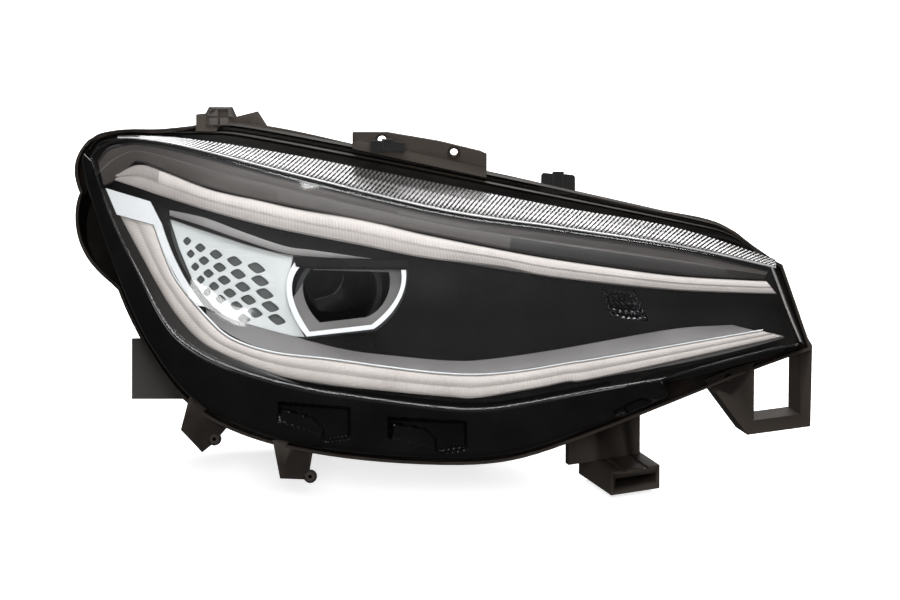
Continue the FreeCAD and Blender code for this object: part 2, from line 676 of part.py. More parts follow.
def union(name, *parts):
    """The sum of some objects."""
    obj = doc.addObject("Part::MultiFuse", name)
    obj.Shapes = list(parts)
    return obj


def overlap(name, *parts):
    """What some objects have in common."""
    obj = doc.addObject("Part::MultiCommon", name)
    obj.Shapes = list(parts)
    return obj


def minus(name, base, *tools):
    """An object less some others."""
    obj = doc.addObject("Part::Cut", name)
    obj.Base = base
    obj.Tool = tools[0] if len(tools) == 1 else union(f"{name}_tools", *tools)
    return obj


def sketch_on(body, role, offset="0"):
    """A sketch on one of a body's own planes."""
    sketch = body.newObject("Sketcher::SketchObject", f"{body.Name}_sketch")
    plane = next(item for item in body.Origin.OriginFeatures if item.Role == role)
    sketch.AttachmentSupport = [(plane, "")]
    sketch.MapMode = "FlatFace"
    sketch.setExpression("AttachmentOffset.Base.z", formula(offset))
    return sketch


def draw_circle(sketch, radius, x=0, y=0):
    """A circle whose radius is a formula."""
    circle = sketch.addGeometry(Part.Circle(Vector(x, y, 0), Vector(0, 0, 1), 5), False)
    number = sketch.addConstraint(Sketcher.Constraint("Radius", circle, 5))
    sketch.setExpression(f"Constraints[{number}]", formula(radius))
    if x == 0 and y == 0:
        sketch.addConstraint(Sketcher.Constraint("Coincident", circle, 3, -1, 1))


def draw_rectangle(sketch, width, height, x=0, y=0):
    """A rectangle round a point, with formulas for its sizes."""
    corners = [(x - 9, y - 9), (x + 9, y - 9), (x + 9, y + 9), (x - 9, y + 9)]
    lines = []
    for i in range(4):
        start, end = corners[i], corners[(i + 1) % 4]
        lines.append(sketch.addGeometry(Part.LineSegment(Vector(*start, 0), Vector(*end, 0)), False))
    for i in range(4):
        sketch.addConstraint(Sketcher.Constraint("Coincident", lines[i], 2, lines[(i + 1) % 4], 1))
        sketch.addConstraint(Sketcher.Constraint("Horizontal" if i % 2 == 0 else "Vertical", lines[i]))
    centre = sketch.addGeometry(Part.Point(Vector(x, y, 0)), True)
    sketch.addConstraint(Sketcher.Constraint("Symmetric", lines[0], 1, lines[2], 1, centre, 1))
    sketch.addConstraint(Sketcher.Constraint("DistanceX", -1, 1, centre, 1, x))
    sketch.addConstraint(Sketcher.Constraint("DistanceY", -1, 1, centre, 1, y))
    wide = sketch.addConstraint(Sketcher.Constraint("DistanceX", lines[0], 1, lines[0], 2, 18))
    high = sketch.addConstraint(Sketcher.Constraint("DistanceY", lines[1], 1, lines[1], 2, 18))
    sketch.setExpression(f"Constraints[{wide}]", formula(width))
    sketch.setExpression(f"Constraints[{high}]", formula(height))


def pad(body, sketch, length, kind="Pad"):
    """Pads or pockets a sketch by a formula."""
    obj = body.newObject(f"PartDesign::{kind}", f"{body.Name}_{kind.lower()}")
    obj.Profile = sketch
    obj.setExpression("Length", formula(length))
    sketch.Visibility = False
    return obj


# ---------------------------------------------------------------- light module

M = ("module_x", "lens_apex_y", "module_z")


def on_axis(y):
    """A point of the module's axis, at a formula for y."""
    return ("module_x", y, "module_z")


SPHERE = "(projector_radius ^ 2 + projector_sagitta ^ 2) / (2 * projector_sagitta)"
lens_depth = "projector_sagitta + projector_edge"
keep(overlap(
    "projector_lens",
    ball("lens_sphere", on_axis(f"lens_apex_y + {SPHERE}"), SPHERE),
    rod("lens_disc", on_axis("lens_apex_y"), "projector_radius", lens_depth),
    block("lens_flats", on_axis("lens_apex_y + 10"), "100", "40", "2 * projector_flat"),
), "projector_lens")

holder_front = "lens_apex_y + projector_sagitta - 2"
holder_back = f"{holder_front} + holder_depth"
holder = overlap(
    "holder_blank",
    rod("holder_disc", on_axis(holder_front), "holder_radius", "holder_depth"),
    block("holder_flats", on_axis(f"{holder_front} + 9"), "100", "30", "2 * projector_flat + 10"),
)
seat = overlap(
    "holder_seat",
    rod("seat_disc", on_axis(f"{holder_front} - 1"), "projector_radius", "projector_edge + 3"),
    block("seat_flats", on_axis(holder_front), "100", "40", "2 * projector_flat"),
)
bore = overlap(
    "holder_bore",
    rod("bore_disc", on_axis(f"{holder_front} - 1"), "projector_radius - 4", "holder_depth + 2"),
    block("bore_flats", on_axis(holder_front), "100", "60", "2 * projector_flat - 8"),
)
keep(minus("lens_holder", holder, seat, bore), "lens_holder")

optic_front = holder_back
optic_middle = f"{optic_front} + optic_depth / 2"
optic_back = f"{optic_front} + optic_depth"
pin_start = "module_z - arm_offset - arm_thickness + 0.3"
pin_length = "2 * (arm_offset + arm_thickness) - 0.6"
collar_start = "module_z - arm_offset + 0.3"
optic = union(
    "optic_blank",
    block("optic_block", on_axis(optic_middle), "optic_width", "optic_depth", "optic_height"),
    rod("swivel_pins", ("module_x", "swivel_y", pin_start), "pin_radius", pin_length, "z"),
    rod("collars", ("module_x", "swivel_y", collar_start), "pin_radius + 4", "2 * arm_offset - 0.6", "z"),
)
hollow_middle = on_axis(f"{optic_middle} - 3")
hollow = block("optic_hollow", hollow_middle, "optic_width - 6", "optic_depth", "optic_height - 6")
keep(minus("optic_housing", optic, hollow), "optic_housing")


def cone(name, y, front, rear, length):
    """A cone along the module's axis, from the front radius back to the rear radius."""
    obj = bind(doc.addObject("Part::Cone", name), Radius1=front, Radius2=rear, Height=length)
    obj.Placement = Placement(Vector(), TURNS["y"])
    for letter, text in zip("xyz", on_axis(y)):
        obj.setExpression(f"Placement.Base.{letter}", formula(text))
    return obj


bowl_start = f"{optic_front} + 6"
keep(minus(
    "optic_reflector",
    cone("reflector_outside", bowl_start, "optic_height / 2 - 4", "12", "optic_depth - 9"),
    cone("reflector_inside", f"{bowl_start} - 0.1", "optic_height / 2 - 6", "10", "optic_depth - 8.8"),
), "optic_reflector")
board_middle = on_axis(f"{optic_back} + board_thickness / 2")
keep(block("led_board", board_middle, "60", "board_thickness", "50"), "led_board")

sink_back = f"{optic_back} + board_thickness + sink_base + fin_depth"
sink = doc.addObject("PartDesign::Body", "heat_sink")
base_sketch = sketch_on(sink, "XY_Plane")
draw_rectangle(base_sketch, "sink_width", "sink_height")
pad(sink, base_sketch, "sink_base")
fin_sketch = sketch_on(sink, "XY_Plane", "sink_base")
first_fin = (dim("fin_thickness") - dim("sink_width")) / 2
draw_rectangle(fin_sketch, "fin_thickness", "sink_height", first_fin, 0)
fin = pad(sink, fin_sketch, "fin_depth")
fins = sink.newObject("PartDesign::LinearPattern", "heat_sink_fins")
fins.Originals = [fin]
fins.Direction = (base_sketch, ["H_Axis"])
fins.setExpression("Length", formula("sink_width - fin_thickness"))
fins.setExpression("Occurrences", formula("fin_count"))
sink.Tip = fins
sink_place = Placement(Vector(), Rotation(Vector(1, 0, 0), -90))
keep(sink, "heat_sink", sink_place)
for letter, text in zip("xyz", on_axis(f"{optic_back} + board_thickness")):
    sink.setExpression(f"Placement.Base.{letter}", formula(text))

fan_middle = f"{sink_back} + fan_depth / 2"
struts = [
    block("strut_across", on_axis(f"{sink_back} + fan_depth - 1.5"), "fan_size - 4", "3", "4"),
    block("strut_up", on_axis(f"{sink_back} + fan_depth - 1.5"), "4", "3", "fan_size - 4"),
    rod("fan_motor_seat", on_axis(f"{sink_back} + fan_depth - 3"), "rotor_hub", "3"),
    rod("fan_axle", on_axis(f"{sink_back} + 2"), "2", "fan_depth - 4"),
]
fan_block = block("fan_block", on_axis(fan_middle), "fan_size", "fan_depth", "fan_size")
fan_hole = rod("fan_hole", on_axis(f"{sink_back} - 1"), "fan_bore", "fan_depth + 2")
keep(union("fan_frame", minus("fan_ring", fan_block, fan_hole), *struts), "fan_frame")

rotor = doc.addObject("PartDesign::Body", "fan_rotor")
hub_sketch = sketch_on(rotor, "XY_Plane")
draw_circle(hub_sketch, "rotor_hub")
draw_circle(hub_sketch, "2 + pin_gap")
pad(rotor, hub_sketch, "fan_depth - 6")
blade_sketch = sketch_on(rotor, "XY_Plane", "1")
blade_middle = (dim("rotor_radius") + dim("rotor_hub") - 1) / 2
draw_rectangle(blade_sketch, "rotor_radius - rotor_hub + 1", "blade_width", blade_middle, 0)
blade = pad(rotor, blade_sketch, "fan_depth - 8")
blades = rotor.newObject("PartDesign::PolarPattern", "fan_blades")
blades.Originals = [blade]
blades.Axis = (hub_sketch, ["N_Axis"])
blades.Angle = 360
blades.setExpression("Occurrences", formula("blade_count"))
rotor.Tip = blades
keep(rotor, "fan_rotor", Placement(Vector(), Rotation(Vector(1, 0, 0), -90)))
for letter, text in zip("xyz", on_axis(f"{sink_back} + 2.4")):
    rotor.setExpression(f"Placement.Base.{letter}", formula(text))

# ---------------------------------------------------------------- yoke and aiming gear

PIVOT_AT = ("pivot_x", "pivot_y", "pivot_z")
AIM_AT = ("pivot_x + aim_arm", "pivot_y", "pivot_z")
LEVEL_AT = ("pivot_x", "pivot_y", "pivot_z - levelling_arm")


def back_from(point, distance):
    """A point behind another one, by a formula."""
    return (point[0], f"{point[1]} + {distance}", point[2])


yoke_back = "yoke_y + yoke_thickness"
yoke_middle = "yoke_y + yoke_thickness / 2"
boss = "pivot_y + socket_past - yoke_y - yoke_thickness"
arm_length = "yoke_y - arm_front"
yoke_solids = [
    block("yoke_plate", ("pivot_x + aim_arm / 2", yoke_middle, "pivot_z - levelling_arm / 2"),
          "yoke_width", "yoke_thickness", "yoke_height"),
    block("arm_top", ("module_x", "(yoke_y + arm_front) / 2", "module_z + arm_offset + arm_thickness / 2"),
          "arm_width", arm_length, "arm_thickness"),
    block("arm_bottom", ("module_x", "(yoke_y + arm_front) / 2", "module_z - arm_offset - arm_thickness / 2"),
          "arm_width", arm_length, "arm_thickness"),
    rod("seat_boss", (PIVOT_AT[0], yoke_back, PIVOT_AT[2]), "seat_wall_radius", boss),
    rod("aim_boss", (AIM_AT[0], yoke_back, AIM_AT[2]), "socket_wall_radius", boss),
    rod("level_boss", (LEVEL_AT[0], yoke_back, LEVEL_AT[2]), "socket_wall_radius", boss),
]
yoke_cuts = [
    block("yoke_opening", on_axis(yoke_middle), "yoke_open_width", "20", "yoke_open_height"),
    rod("yoke_bores", ("module_x", "swivel_y", "module_z - 70"), "pin_radius + pin_gap", "140", "z"),
    ball("seat_hollow", PIVOT_AT, "seat_radius"),
    ball("aim_hollow", AIM_AT, "ball_radius + socket_gap"),
    ball("level_hollow", LEVEL_AT, "ball_radius + socket_gap"),
]
keep(minus("carrier_yoke", union("yoke_blank", *yoke_solids), *yoke_cuts), "carrier_yoke")
actuator_at = ("module_x", "swivel_y + 14", "module_z - arm_offset - arm_thickness - 9")
keep(block("swivel_actuator", actuator_at, "44", "36", "18"), "swivel_actuator")

cup_tools = [
    ball("cup_inside", PIVOT_AT, "ball_radius + 0.3"),
    block("cup_mouth", back_from(PIVOT_AT, "socket_past + 10"), "40", "20", "40"),
]
keep(minus("pivot_cup", ball("cup_outside", PIVOT_AT, "cup_outer"), *cup_tools), "pivot_cup")
keep(union(
    "pivot_stud",
    ball("stud_ball", PIVOT_AT, "ball_radius"),
    rod("stud_neck", PIVOT_AT, "3", "26"),
    rod("stud_collar", back_from(PIVOT_AT, "20"), "5", "6"),
    rod("stud_shank", back_from(PIVOT_AT, "24"), "2.6", "22"),
), "pivot_stud")
keep(union(
    "levelling_spindle",
    ball("spindle_ball", LEVEL_AT, "ball_radius"),
    rod("spindle_rod", LEVEL_AT, "spindle_radius", "50"),
), "levelling_spindle")
socket_height = "pivot_z - levelling_arm - motor_radius - 2"
motor = union(
    "motor_blank",
    rod("motor_body", back_from(LEVEL_AT, "30"), "motor_radius", "motor_length"),
    rod("motor_neck", back_from(LEVEL_AT, "60"), "screw_radius + 1", "50"),
    rod("motor_knob", back_from(LEVEL_AT, "110"), "8", "7"),
    block("motor_socket", (LEVEL_AT[0], "pivot_y + 46", socket_height), "16", "20", "10"),
)
motor_bore = rod("motor_bore", back_from(LEVEL_AT, "20"), "spindle_radius + pin_gap", "42")
keep(minus("levelling_motor", motor, motor_bore), "levelling_motor")
nut = union(
    "nut_blank",
    ball("nut_ball", AIM_AT, "ball_radius"),
    rod("nut_neck", AIM_AT, "3.4", "13"),
    rod("nut_barrel", back_from(AIM_AT, "11"), "screw_radius + 4", "24"),
)
nut_bore = rod("nut_bore", back_from(AIM_AT, "14"), "screw_radius + pin_gap", "22")
keep(minus("aim_nut", nut, nut_bore), "aim_nut")
screw = union(
    "screw_blank",
    rod("screw_rod", back_from(AIM_AT, "22"), "screw_radius", "60"),
    rod("screw_gear", back_from(AIM_AT, "76.5"), "9", "7"),
)
keep(minus("aim_screw", screw, rod("screw_socket", back_from(AIM_AT, "78"), "2.5", "8")), "aim_screw")

# ---------------------------------------------------------------- back of the housing

NECK = ("neck_x", "neck_z")


def on_neck(y):
    """A point of the service opening's axis, in the lamp frame."""
    return ("neck_x", f"bowl_back + {y}", "neck_z")


cap = union(
    "cap_blank",
    rod("cap_disc", on_neck("2"), "neck_radius + 3 + cap_wall", "neck_height + 5"),
    block("cap_grip", on_neck("neck_height + 12"), "64", "12", "12"),
)
cap_shell = minus("cap_shell", cap, rod("cap_hollow", on_neck("1"), "neck_radius + 3", "neck_height + 1"))
lugs = doc.addObject("Part::Feature", "cap_lugs")
radius = dim("neck_radius")
lugs.Shape = Part.makeCompound(
    [arc_block(radius + 0.5, radius + 3.5, BACK + 4, BACK + 7, start, 28) for start in (0, 120, 240)]
)
keep(union("service_cap", cap_shell, lugs), "service_cap", LAMP)
seal_ring = rod("seal_outer", on_neck("neck_height + 0.3"), "neck_radius", "1.7")
seal_hole = rod("seal_inner", on_neck("neck_height"), "neck_radius - 3", "4")
keep(minus("cap_seal", seal_ring, seal_hole), "service_cap_seal", LAMP)

caps = []
for number, x in enumerate((-268, -40)):
    caps.append(rod(f"vent_plug_{number}", (x, "bowl_back - bowl_wall", 92), "4", "bowl_wall + 1"))
    caps.append(rod(f"vent_head_{number}", (x, "bowl_back", 92), "9", "6"))
keep(union("vent_caps", *caps), "vent_caps", LAMP)

plug = union(
    "plug_blank",
    block("plug_flange", (-4, "bowl_back + 1.5", 19), "plug_width + 8", "3", "plug_height + 8"),
    block("plug_stem", (-4, "bowl_back - 2", 19), "44", "8", "18"),
    block("plug_shell", (-4, "bowl_back + plug_length / 2", 19), "plug_width", "plug_length", "plug_height"),
)
plug_hollow = block(
    "plug_hollow", (-4, "bowl_back + plug_length / 2 + 5", 19),
    "plug_width - 2 * plug_wall", "plug_length", "plug_height - 2 * plug_wall",
)
keep(minus("main_connector", plug, plug_hollow), "main_connector", LAMP)
contacts = []
for row in (14, 24):
    for number in range(int(dim("pin_count"))):
        contact_at = (-22 + 6 * number, "bowl_back + 5", row)
        contacts.append(rod(f"contact_{row}_{number}", contact_at, "0.8", "plug_length - 9"))
keep(union("connector_pins", *contacts), "connector_pins", LAMP)

unit = doc.addObject("PartDesign::Body", "unit_body")
unit_sketch = sketch_on(unit, "XY_Plane")
draw_rectangle(unit_sketch, "unit_width", "unit_depth")
pad(unit, unit_sketch, "unit_height")
rib_sketch = sketch_on(unit, "XY_Plane", "-unit_fin")
draw_rectangle(rib_sketch, "unit_width - 30", "2.4", 0, -28)
rib = pad(unit, rib_sketch, "unit_fin")
ribs = unit.newObject("PartDesign::LinearPattern", "unit_ribs")
ribs.Originals = [rib]
ribs.Direction = (unit_sketch, ["V_Axis"])
ribs.setExpression("Length", formula("7 * unit_fin_pitch"))
ribs.Occurrences = 8
unit.Tip = ribs
unit.Placement = Placement(Vector(-22, 167, UNIT_TOP - dim("unit_height")), Rotation())
shanks = []
heads = []
unit_face = f"{UNIT_TOP} - unit_height"
for number, (x, y) in enumerate(UNIT_POSTS):
    head_at = (x, y, f"{unit_face} - screw_head_height")
    shanks.append(rod(f"unit_hole_{number}", (x, y, UNIT_TOP - 30), "screw_shank", "40", "z"))
    heads.append(rod(f"unit_head_{number}", head_at, "screw_head", "screw_head_height", "z"))
    heads.append(rod(f"unit_shank_{number}", (x, y, unit_face), "screw_shank", "unit_height + 12", "z"))
keep(minus("control_unit", unit, *shanks), "control_unit", LAMP)
keep(union("control_unit_screws", *heads), "control_unit_screws", LAMP)

# ---------------------------------------------------------------- output

doc.recompute()
for obj in doc.Objects:
    if {"Invalid", "Error"} & set(obj.State):
        print("not sound", obj.Name, obj.State)
os.makedirs("parts", exist_ok=True)
for obj in PARTS:
    if obj.Shape.isNull() or not obj.Shape.isValid():
        print("bad shape", obj.Label)
    obj.Shape.exportStep(f"parts/{obj.Label}.step")
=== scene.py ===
import json
import math

import bmesh
import bpy
from mathutils import Matrix, Vector


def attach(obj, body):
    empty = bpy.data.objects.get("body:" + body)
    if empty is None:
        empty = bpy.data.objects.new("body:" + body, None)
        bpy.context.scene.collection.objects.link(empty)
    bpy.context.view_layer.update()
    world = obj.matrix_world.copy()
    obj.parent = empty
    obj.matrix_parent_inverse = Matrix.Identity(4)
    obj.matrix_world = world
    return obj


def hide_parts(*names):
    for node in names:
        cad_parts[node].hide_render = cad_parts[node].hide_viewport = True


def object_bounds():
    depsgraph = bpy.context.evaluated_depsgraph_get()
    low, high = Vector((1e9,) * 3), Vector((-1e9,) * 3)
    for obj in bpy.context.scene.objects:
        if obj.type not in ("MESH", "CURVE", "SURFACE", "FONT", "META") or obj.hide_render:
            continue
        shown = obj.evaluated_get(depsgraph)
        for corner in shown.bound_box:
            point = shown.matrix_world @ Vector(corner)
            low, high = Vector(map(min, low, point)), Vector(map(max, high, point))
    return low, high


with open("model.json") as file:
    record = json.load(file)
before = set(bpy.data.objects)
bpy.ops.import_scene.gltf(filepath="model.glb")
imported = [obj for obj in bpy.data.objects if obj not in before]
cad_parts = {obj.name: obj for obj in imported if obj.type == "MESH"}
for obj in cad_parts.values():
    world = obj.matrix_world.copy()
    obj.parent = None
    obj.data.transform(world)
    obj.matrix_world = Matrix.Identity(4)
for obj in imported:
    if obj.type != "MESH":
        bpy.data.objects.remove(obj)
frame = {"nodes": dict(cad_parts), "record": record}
cad_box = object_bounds()

# Points are written in millimetres in the lamp frame: X along the lamp, Y into the housing, Z up the lens.
# LAMP carries that frame into the row frame, in metres.
MM = 0.001
LAMP = (
    Matrix.Translation((-46 * MM, -90 * MM, -112 * MM))
    @ Matrix.Rotation(math.radians(-25), 4, "Z")
    @ Matrix.Rotation(math.radians(-18), 4, "X")
)
BACK = 235  # lamp Y of the housing's rear face


def lamp_point(x, y, z):
    """A point of the lamp frame, in the row frame."""
    return LAMP @ Vector((x * MM, y * MM, z * MM))


def sweep(x):
    """How far the lens surface has swept back at lamp X."""
    if x > 0:
        return x * x / 3000
    return x * x / 1800 + 50 * (max(0, -x - 200) / 157) ** 2


def lens_y(x, z):
    """Lamp Y of the lens's outer face."""
    return sweep(x) + 0.10 * z + z * z / 900


def parting_y(x, z):
    """Lamp Y of the plane where the housing's flange begins."""
    return sweep(x) + 50 + 0.2 * z


# ---------------------------------------------------------------- materials

SHADER = {}
GRAIN_DEPTH = 0.0002  # metres


def noise(tree, scale, detail=4, stretch=(1, 1, 1)):
    """A noise pattern that stays with the object, in metres."""
    place = tree.nodes.new("ShaderNodeTexCoord")
    mapping = tree.nodes.new("ShaderNodeMapping")
    mapping.inputs["Scale"].default_value = stretch
    pattern = tree.nodes.new("ShaderNodeTexNoise")
    pattern.inputs["Scale"].default_value = scale
    pattern.inputs["Detail"].default_value = detail
    tree.links.new(place.outputs["Object"], mapping.inputs["Vector"])
    tree.links.new(mapping.outputs["Vector"], pattern.inputs["Vector"])
    return pattern.outputs["Fac"]


def spread(tree, value, low, high):
    """A pattern's middle range, stretched between two numbers."""
    node = tree.nodes.new("ShaderNodeMapRange")
    node.inputs["From Min"].default_value = 0.3
    node.inputs["From Max"].default_value = 0.7
    node.inputs["To Min"].default_value = low
    node.inputs["To Max"].default_value = high
    tree.links.new(value, node.inputs["Value"])
    return node.outputs["Result"]


def tinted(tree, value, dark, light):
    """A colour between two others, led by a pattern."""
    ramp = tree.nodes.new("ShaderNodeValToRGB")
    ramp.color_ramp.elements[0].position = 0.3
    ramp.color_ramp.elements[1].position = 0.7
    ramp.color_ramp.elements[0].color = (*dark, 1)
    ramp.color_ramp.elements[1].color = (*light, 1)
    tree.links.new(value, ramp.inputs["Fac"])
    return ramp.outputs["Color"]


# Paler colour on sharp convex edges, found from pointiness
def paler_sharp_edges(tree, colour, edge_colour):
    """A colour that turns paler on sharp edges."""
    geometry = tree.nodes.new("ShaderNodeNewGeometry")
    ramp = tree.nodes.new("ShaderNodeValToRGB")
    ramp.color_ramp.elements[0].position = 0.53
    ramp.color_ramp.elements[1].position = 0.62
    mix = tree.nodes.new("ShaderNodeMix")
    mix.data_type = "RGBA"
    mix.inputs["B"].default_value = (*edge_colour, 1)
    tree.links.new(geometry.outputs["Pointiness"], ramp.inputs["Fac"])
    tree.links.new(ramp.outputs["Color"], mix.inputs["Factor"])
    tree.links.new(colour, mix.inputs["A"])
    return mix.outputs["Result"]


def solid(name, dark, light, rough, metal=0, patch=18, grain=900, bump=0.1, edge=None,
          stretch=(1, 1, 1), glow=None, specular=0.5):
    """An opaque material: patchy colour and roughness, with a fine grain."""
    material = bpy.data.materials.new(name)
    material.use_nodes = True
    tree = material.node_tree
    shader = tree.nodes["Principled BSDF"]
    patches = noise(tree, patch)
    grains = noise(tree, grain, 2, stretch)
    colour = tinted(tree, patches, dark, light)
    if edge:
        colour = paler_sharp_edges(tree, colour, edge)
    tree.links.new(colour, shader.inputs["Base Color"])
    tree.links.new(spread(tree, patches, rough[0], rough[1]), shader.inputs["Roughness"])
    raised = tree.nodes.new("ShaderNodeBump")
    raised.inputs["Strength"].default_value = bump
    raised.inputs["Distance"].default_value = GRAIN_DEPTH
    tree.links.new(grains, raised.inputs["Height"])
    tree.links.new(raised.outputs["Normal"], shader.inputs["Normal"])
    shader.inputs["Metallic"].default_value = metal
    shader.inputs["Specular IOR Level"].default_value = specular
    if glow:
        shader.inputs["Emission Color"].default_value = (*glow, 1)
        shader.inputs["Emission Strength"].default_value = 1
    SHADER[name] = material
    return material


def clear(name, tint, rough, ior=1.5, body=0.0, body_colour=(0.5, 0.5, 0.5)):
    """A clear moulding: it lets light through, reflects by its angle, and may carry a diffuse body colour; on
    the crease bead, the ribs and the lens's right edge that body is painted highlight and shade.
    """
    material = bpy.data.materials.new(name)
    material.use_nodes = True
    tree = material.node_tree
    tree.nodes.remove(tree.nodes["Principled BSDF"])
    output = tree.nodes["Material Output"]
    through = tree.nodes.new("ShaderNodeBsdfTransparent")
    through.inputs["Color"].default_value = (*tint, 1)
    gloss = tree.nodes.new("ShaderNodeBsdfGlossy")
    gloss.inputs["Color"].default_value = (1, 1, 1, 1)
    tree.links.new(spread(tree, noise(tree, 30), rough[0], rough[1]), gloss.inputs["Roughness"])
    facing = tree.nodes.new("ShaderNodeLayerWeight")
    steep = tree.nodes.new("ShaderNodeMath")
    steep.operation = "POWER"
    steep.inputs[1].default_value = 5
    reflected = tree.nodes.new("ShaderNodeMapRange")
    reflected.inputs["To Min"].default_value = ((ior - 1) / (ior + 1)) ** 2
    film = tree.nodes.new("ShaderNodeMixShader")
    tree.links.new(facing.outputs["Facing"], steep.inputs[0])
    tree.links.new(steep.outputs["Value"], reflected.inputs["Value"])
    tree.links.new(reflected.outputs["Result"], film.inputs["Fac"])
    tree.links.new(gloss.outputs["BSDF"], film.inputs[2])
    if body:
        haze = tree.nodes.new("ShaderNodeBsdfDiffuse")
        haze.inputs["Color"].default_value = (*body_colour, 1)
        inner = tree.nodes.new("ShaderNodeMixShader")
        tree.links.new(spread(tree, noise(tree, 45), body * 0.8, body * 1.2), inner.inputs["Fac"])
        tree.links.new(through.outputs["BSDF"], inner.inputs[1])
        tree.links.new(haze.outputs["BSDF"], inner.inputs[2])
        tree.links.new(inner.outputs["Shader"], film.inputs[1])
    else:
        tree.links.new(through.outputs["BSDF"], film.inputs[1])
    tree.links.new(film.outputs["Shader"], output.inputs["Surface"])
    SHADER[name] = material
    return material


# One finish for each material slot of the record
solid("housing_plastic", (0.006, 0.005, 0.0045), (0.019, 0.015, 0.0125), (0.40, 0.60), patch=26,
      grain=1500, bump=0.45, edge=(0.050, 0.042, 0.036), specular=0.10)
clear("clear_lens", (0.97, 0.975, 0.98), (0.02, 0.06))
solid("gloss_black", (0.002, 0.002, 0.0022), (0.004, 0.004, 0.004), (0.06, 0.16), patch=25, grain=400,
      bump=0.03)
solid("dark_bezel", (0.004, 0.0037, 0.0035), (0.010, 0.009, 0.0085), (0.22, 0.40), patch=10, grain=700,
      bump=0.05, specular=0.3)
solid("light_guide", (0.50, 0.45, 0.42), (0.60, 0.55, 0.51), (0.25, 0.40), patch=30, grain=1600, bump=0.15)
solid("guide_backing", (0.10, 0.095, 0.09), (0.14, 0.13, 0.125), (0.45, 0.6), bump=0.1)
solid("satin_silver", (0.15, 0.142, 0.138), (0.20, 0.19, 0.185), (0.4, 0.55), grain=2500, bump=0.08)
solid("white_trim", (0.82, 0.83, 0.83), (0.88, 0.89, 0.89), (0.22, 0.30), bump=0.03)
solid("panel_grey", (0.58, 0.60, 0.59), (0.66, 0.68, 0.67), (0.38, 0.5), grain=2200, bump=0.08)
solid("backing_grey", (0.11, 0.115, 0.11), (0.15, 0.155, 0.15), (0.5, 0.65), bump=0.1)
solid("shroud_grey", (0.13, 0.125, 0.12), (0.19, 0.18, 0.175), (0.40, 0.55), bump=0.1)
solid("mirror_coat", (0.15, 0.15, 0.155), (0.22, 0.22, 0.225), (0.12, 0.22), metal=1, bump=0.03)
clear("projector_glass", (0.30, 0.32, 0.34), (0.0, 0.01), ior=1.8)
solid("cast_alloy", (0.30, 0.30, 0.31), (0.42, 0.42, 0.43), (0.4, 0.6), metal=0.9, grain=500, bump=0.3)
solid("sink_alloy", (0.40, 0.40, 0.41), (0.52, 0.52, 0.53), (0.3, 0.45), metal=0.9, grain=300, bump=0.1,
      stretch=(1, 14, 1), edge=(0.7, 0.7, 0.71))
solid("circuit_board", (0.008, 0.055, 0.025), (0.012, 0.08, 0.035), (0.28, 0.36), grain=260, bump=0.15)
solid("black_plastic", (0.006, 0.006, 0.006), (0.014, 0.013, 0.013), (0.45, 0.6), grain=1300, bump=0.2,
      edge=(0.04, 0.038, 0.036), specular=0.12)
solid("white_nylon", (0.60, 0.58, 0.52), (0.68, 0.66, 0.60), (0.35, 0.5), bump=0.08)
solid("plated_steel", (0.45, 0.43, 0.36), (0.60, 0.57, 0.47), (0.22, 0.35), metal=1, grain=600, bump=0.06)
solid("black_rubber", (0.010, 0.010, 0.010), (0.018, 0.018, 0.018), (0.65, 0.8), grain=1000, bump=0.25)
solid("contact_metal", (0.55, 0.42, 0.18), (0.68, 0.54, 0.26), (0.2, 0.3), metal=1, bump=0.03)

# Finishes that only looks pieces use
# Lit and shaded copies of the light guide's colour: a painted highlight for the guides' upper beads and a
# painted shade for the rest of the upper guide
solid("guide_painted_highlight", (0.62, 0.565, 0.53), (0.70, 0.64, 0.60), (0.25, 0.40), patch=30, grain=1600,
      bump=0.12)
solid("guide_painted_shade", (0.36, 0.325, 0.305), (0.43, 0.39, 0.365), (0.30, 0.45), patch=30, grain=1600,
      bump=0.12)
solid("trim_brown", (0.048, 0.042, 0.038), (0.085, 0.074, 0.067), (0.35, 0.50), patch=8, grain=1400,
      bump=0.08)
solid("trim_dark", (0.014, 0.012, 0.011), (0.024, 0.021, 0.019), (0.35, 0.50), patch=12, grain=1400,
      bump=0.08)
# A painted reflection: the pale line along the upper trim's face
solid("trim_painted_reflection", (0.11, 0.10, 0.095), (0.15, 0.135, 0.13), (0.3, 0.45), patch=20, bump=0.05)
solid("flange_gloss", (0.004, 0.0035, 0.003), (0.011, 0.0095, 0.008), (0.30, 0.45), patch=30, grain=800,
      bump=0.15, edge=(0.040, 0.034, 0.029), specular=0.3)
solid("crown_grey", (0.30, 0.285, 0.275), (0.44, 0.42, 0.41), (0.35, 0.5), patch=14, grain=1600, bump=0.06)
solid("pocket_rim", (0.030, 0.026, 0.023), (0.060, 0.052, 0.046), (0.4, 0.55), patch=30, bump=0.2)
# The crease bead's pale diffuse body is a painted highlight along the crease
clear("lens_crease_painted_highlight", (0.80, 0.81, 0.82), (0.03, 0.10), body=0.55, body_colour=(0.55, 0.55, 0.55))
# The ribs' bodies are painted light: pale painted glints on the crests, fainter ones high on the band, and
# painted shade on the other faces
clear("lens_ribs_painted_highlight", (0.50, 0.50, 0.50), (0.15, 0.30), body=0.55, body_colour=(0.42, 0.405, 0.40))
clear("lens_ribs_painted_shade", (0.20, 0.20, 0.20), (0.15, 0.30), body=0.50, body_colour=(0.025, 0.025, 0.025))
clear("lens_ribs_far_painted_highlight", (0.40, 0.40, 0.40), (0.15, 0.30), body=0.50, body_colour=(0.20, 0.19, 0.185))
clear("lens_smoke", (0.40, 0.39, 0.38), (0.05, 0.15), body=0.45, body_colour=(0.10, 0.095, 0.09))

slots = {item["node"]: item["material_slot"] for item in frame["record"]["subparts"]}


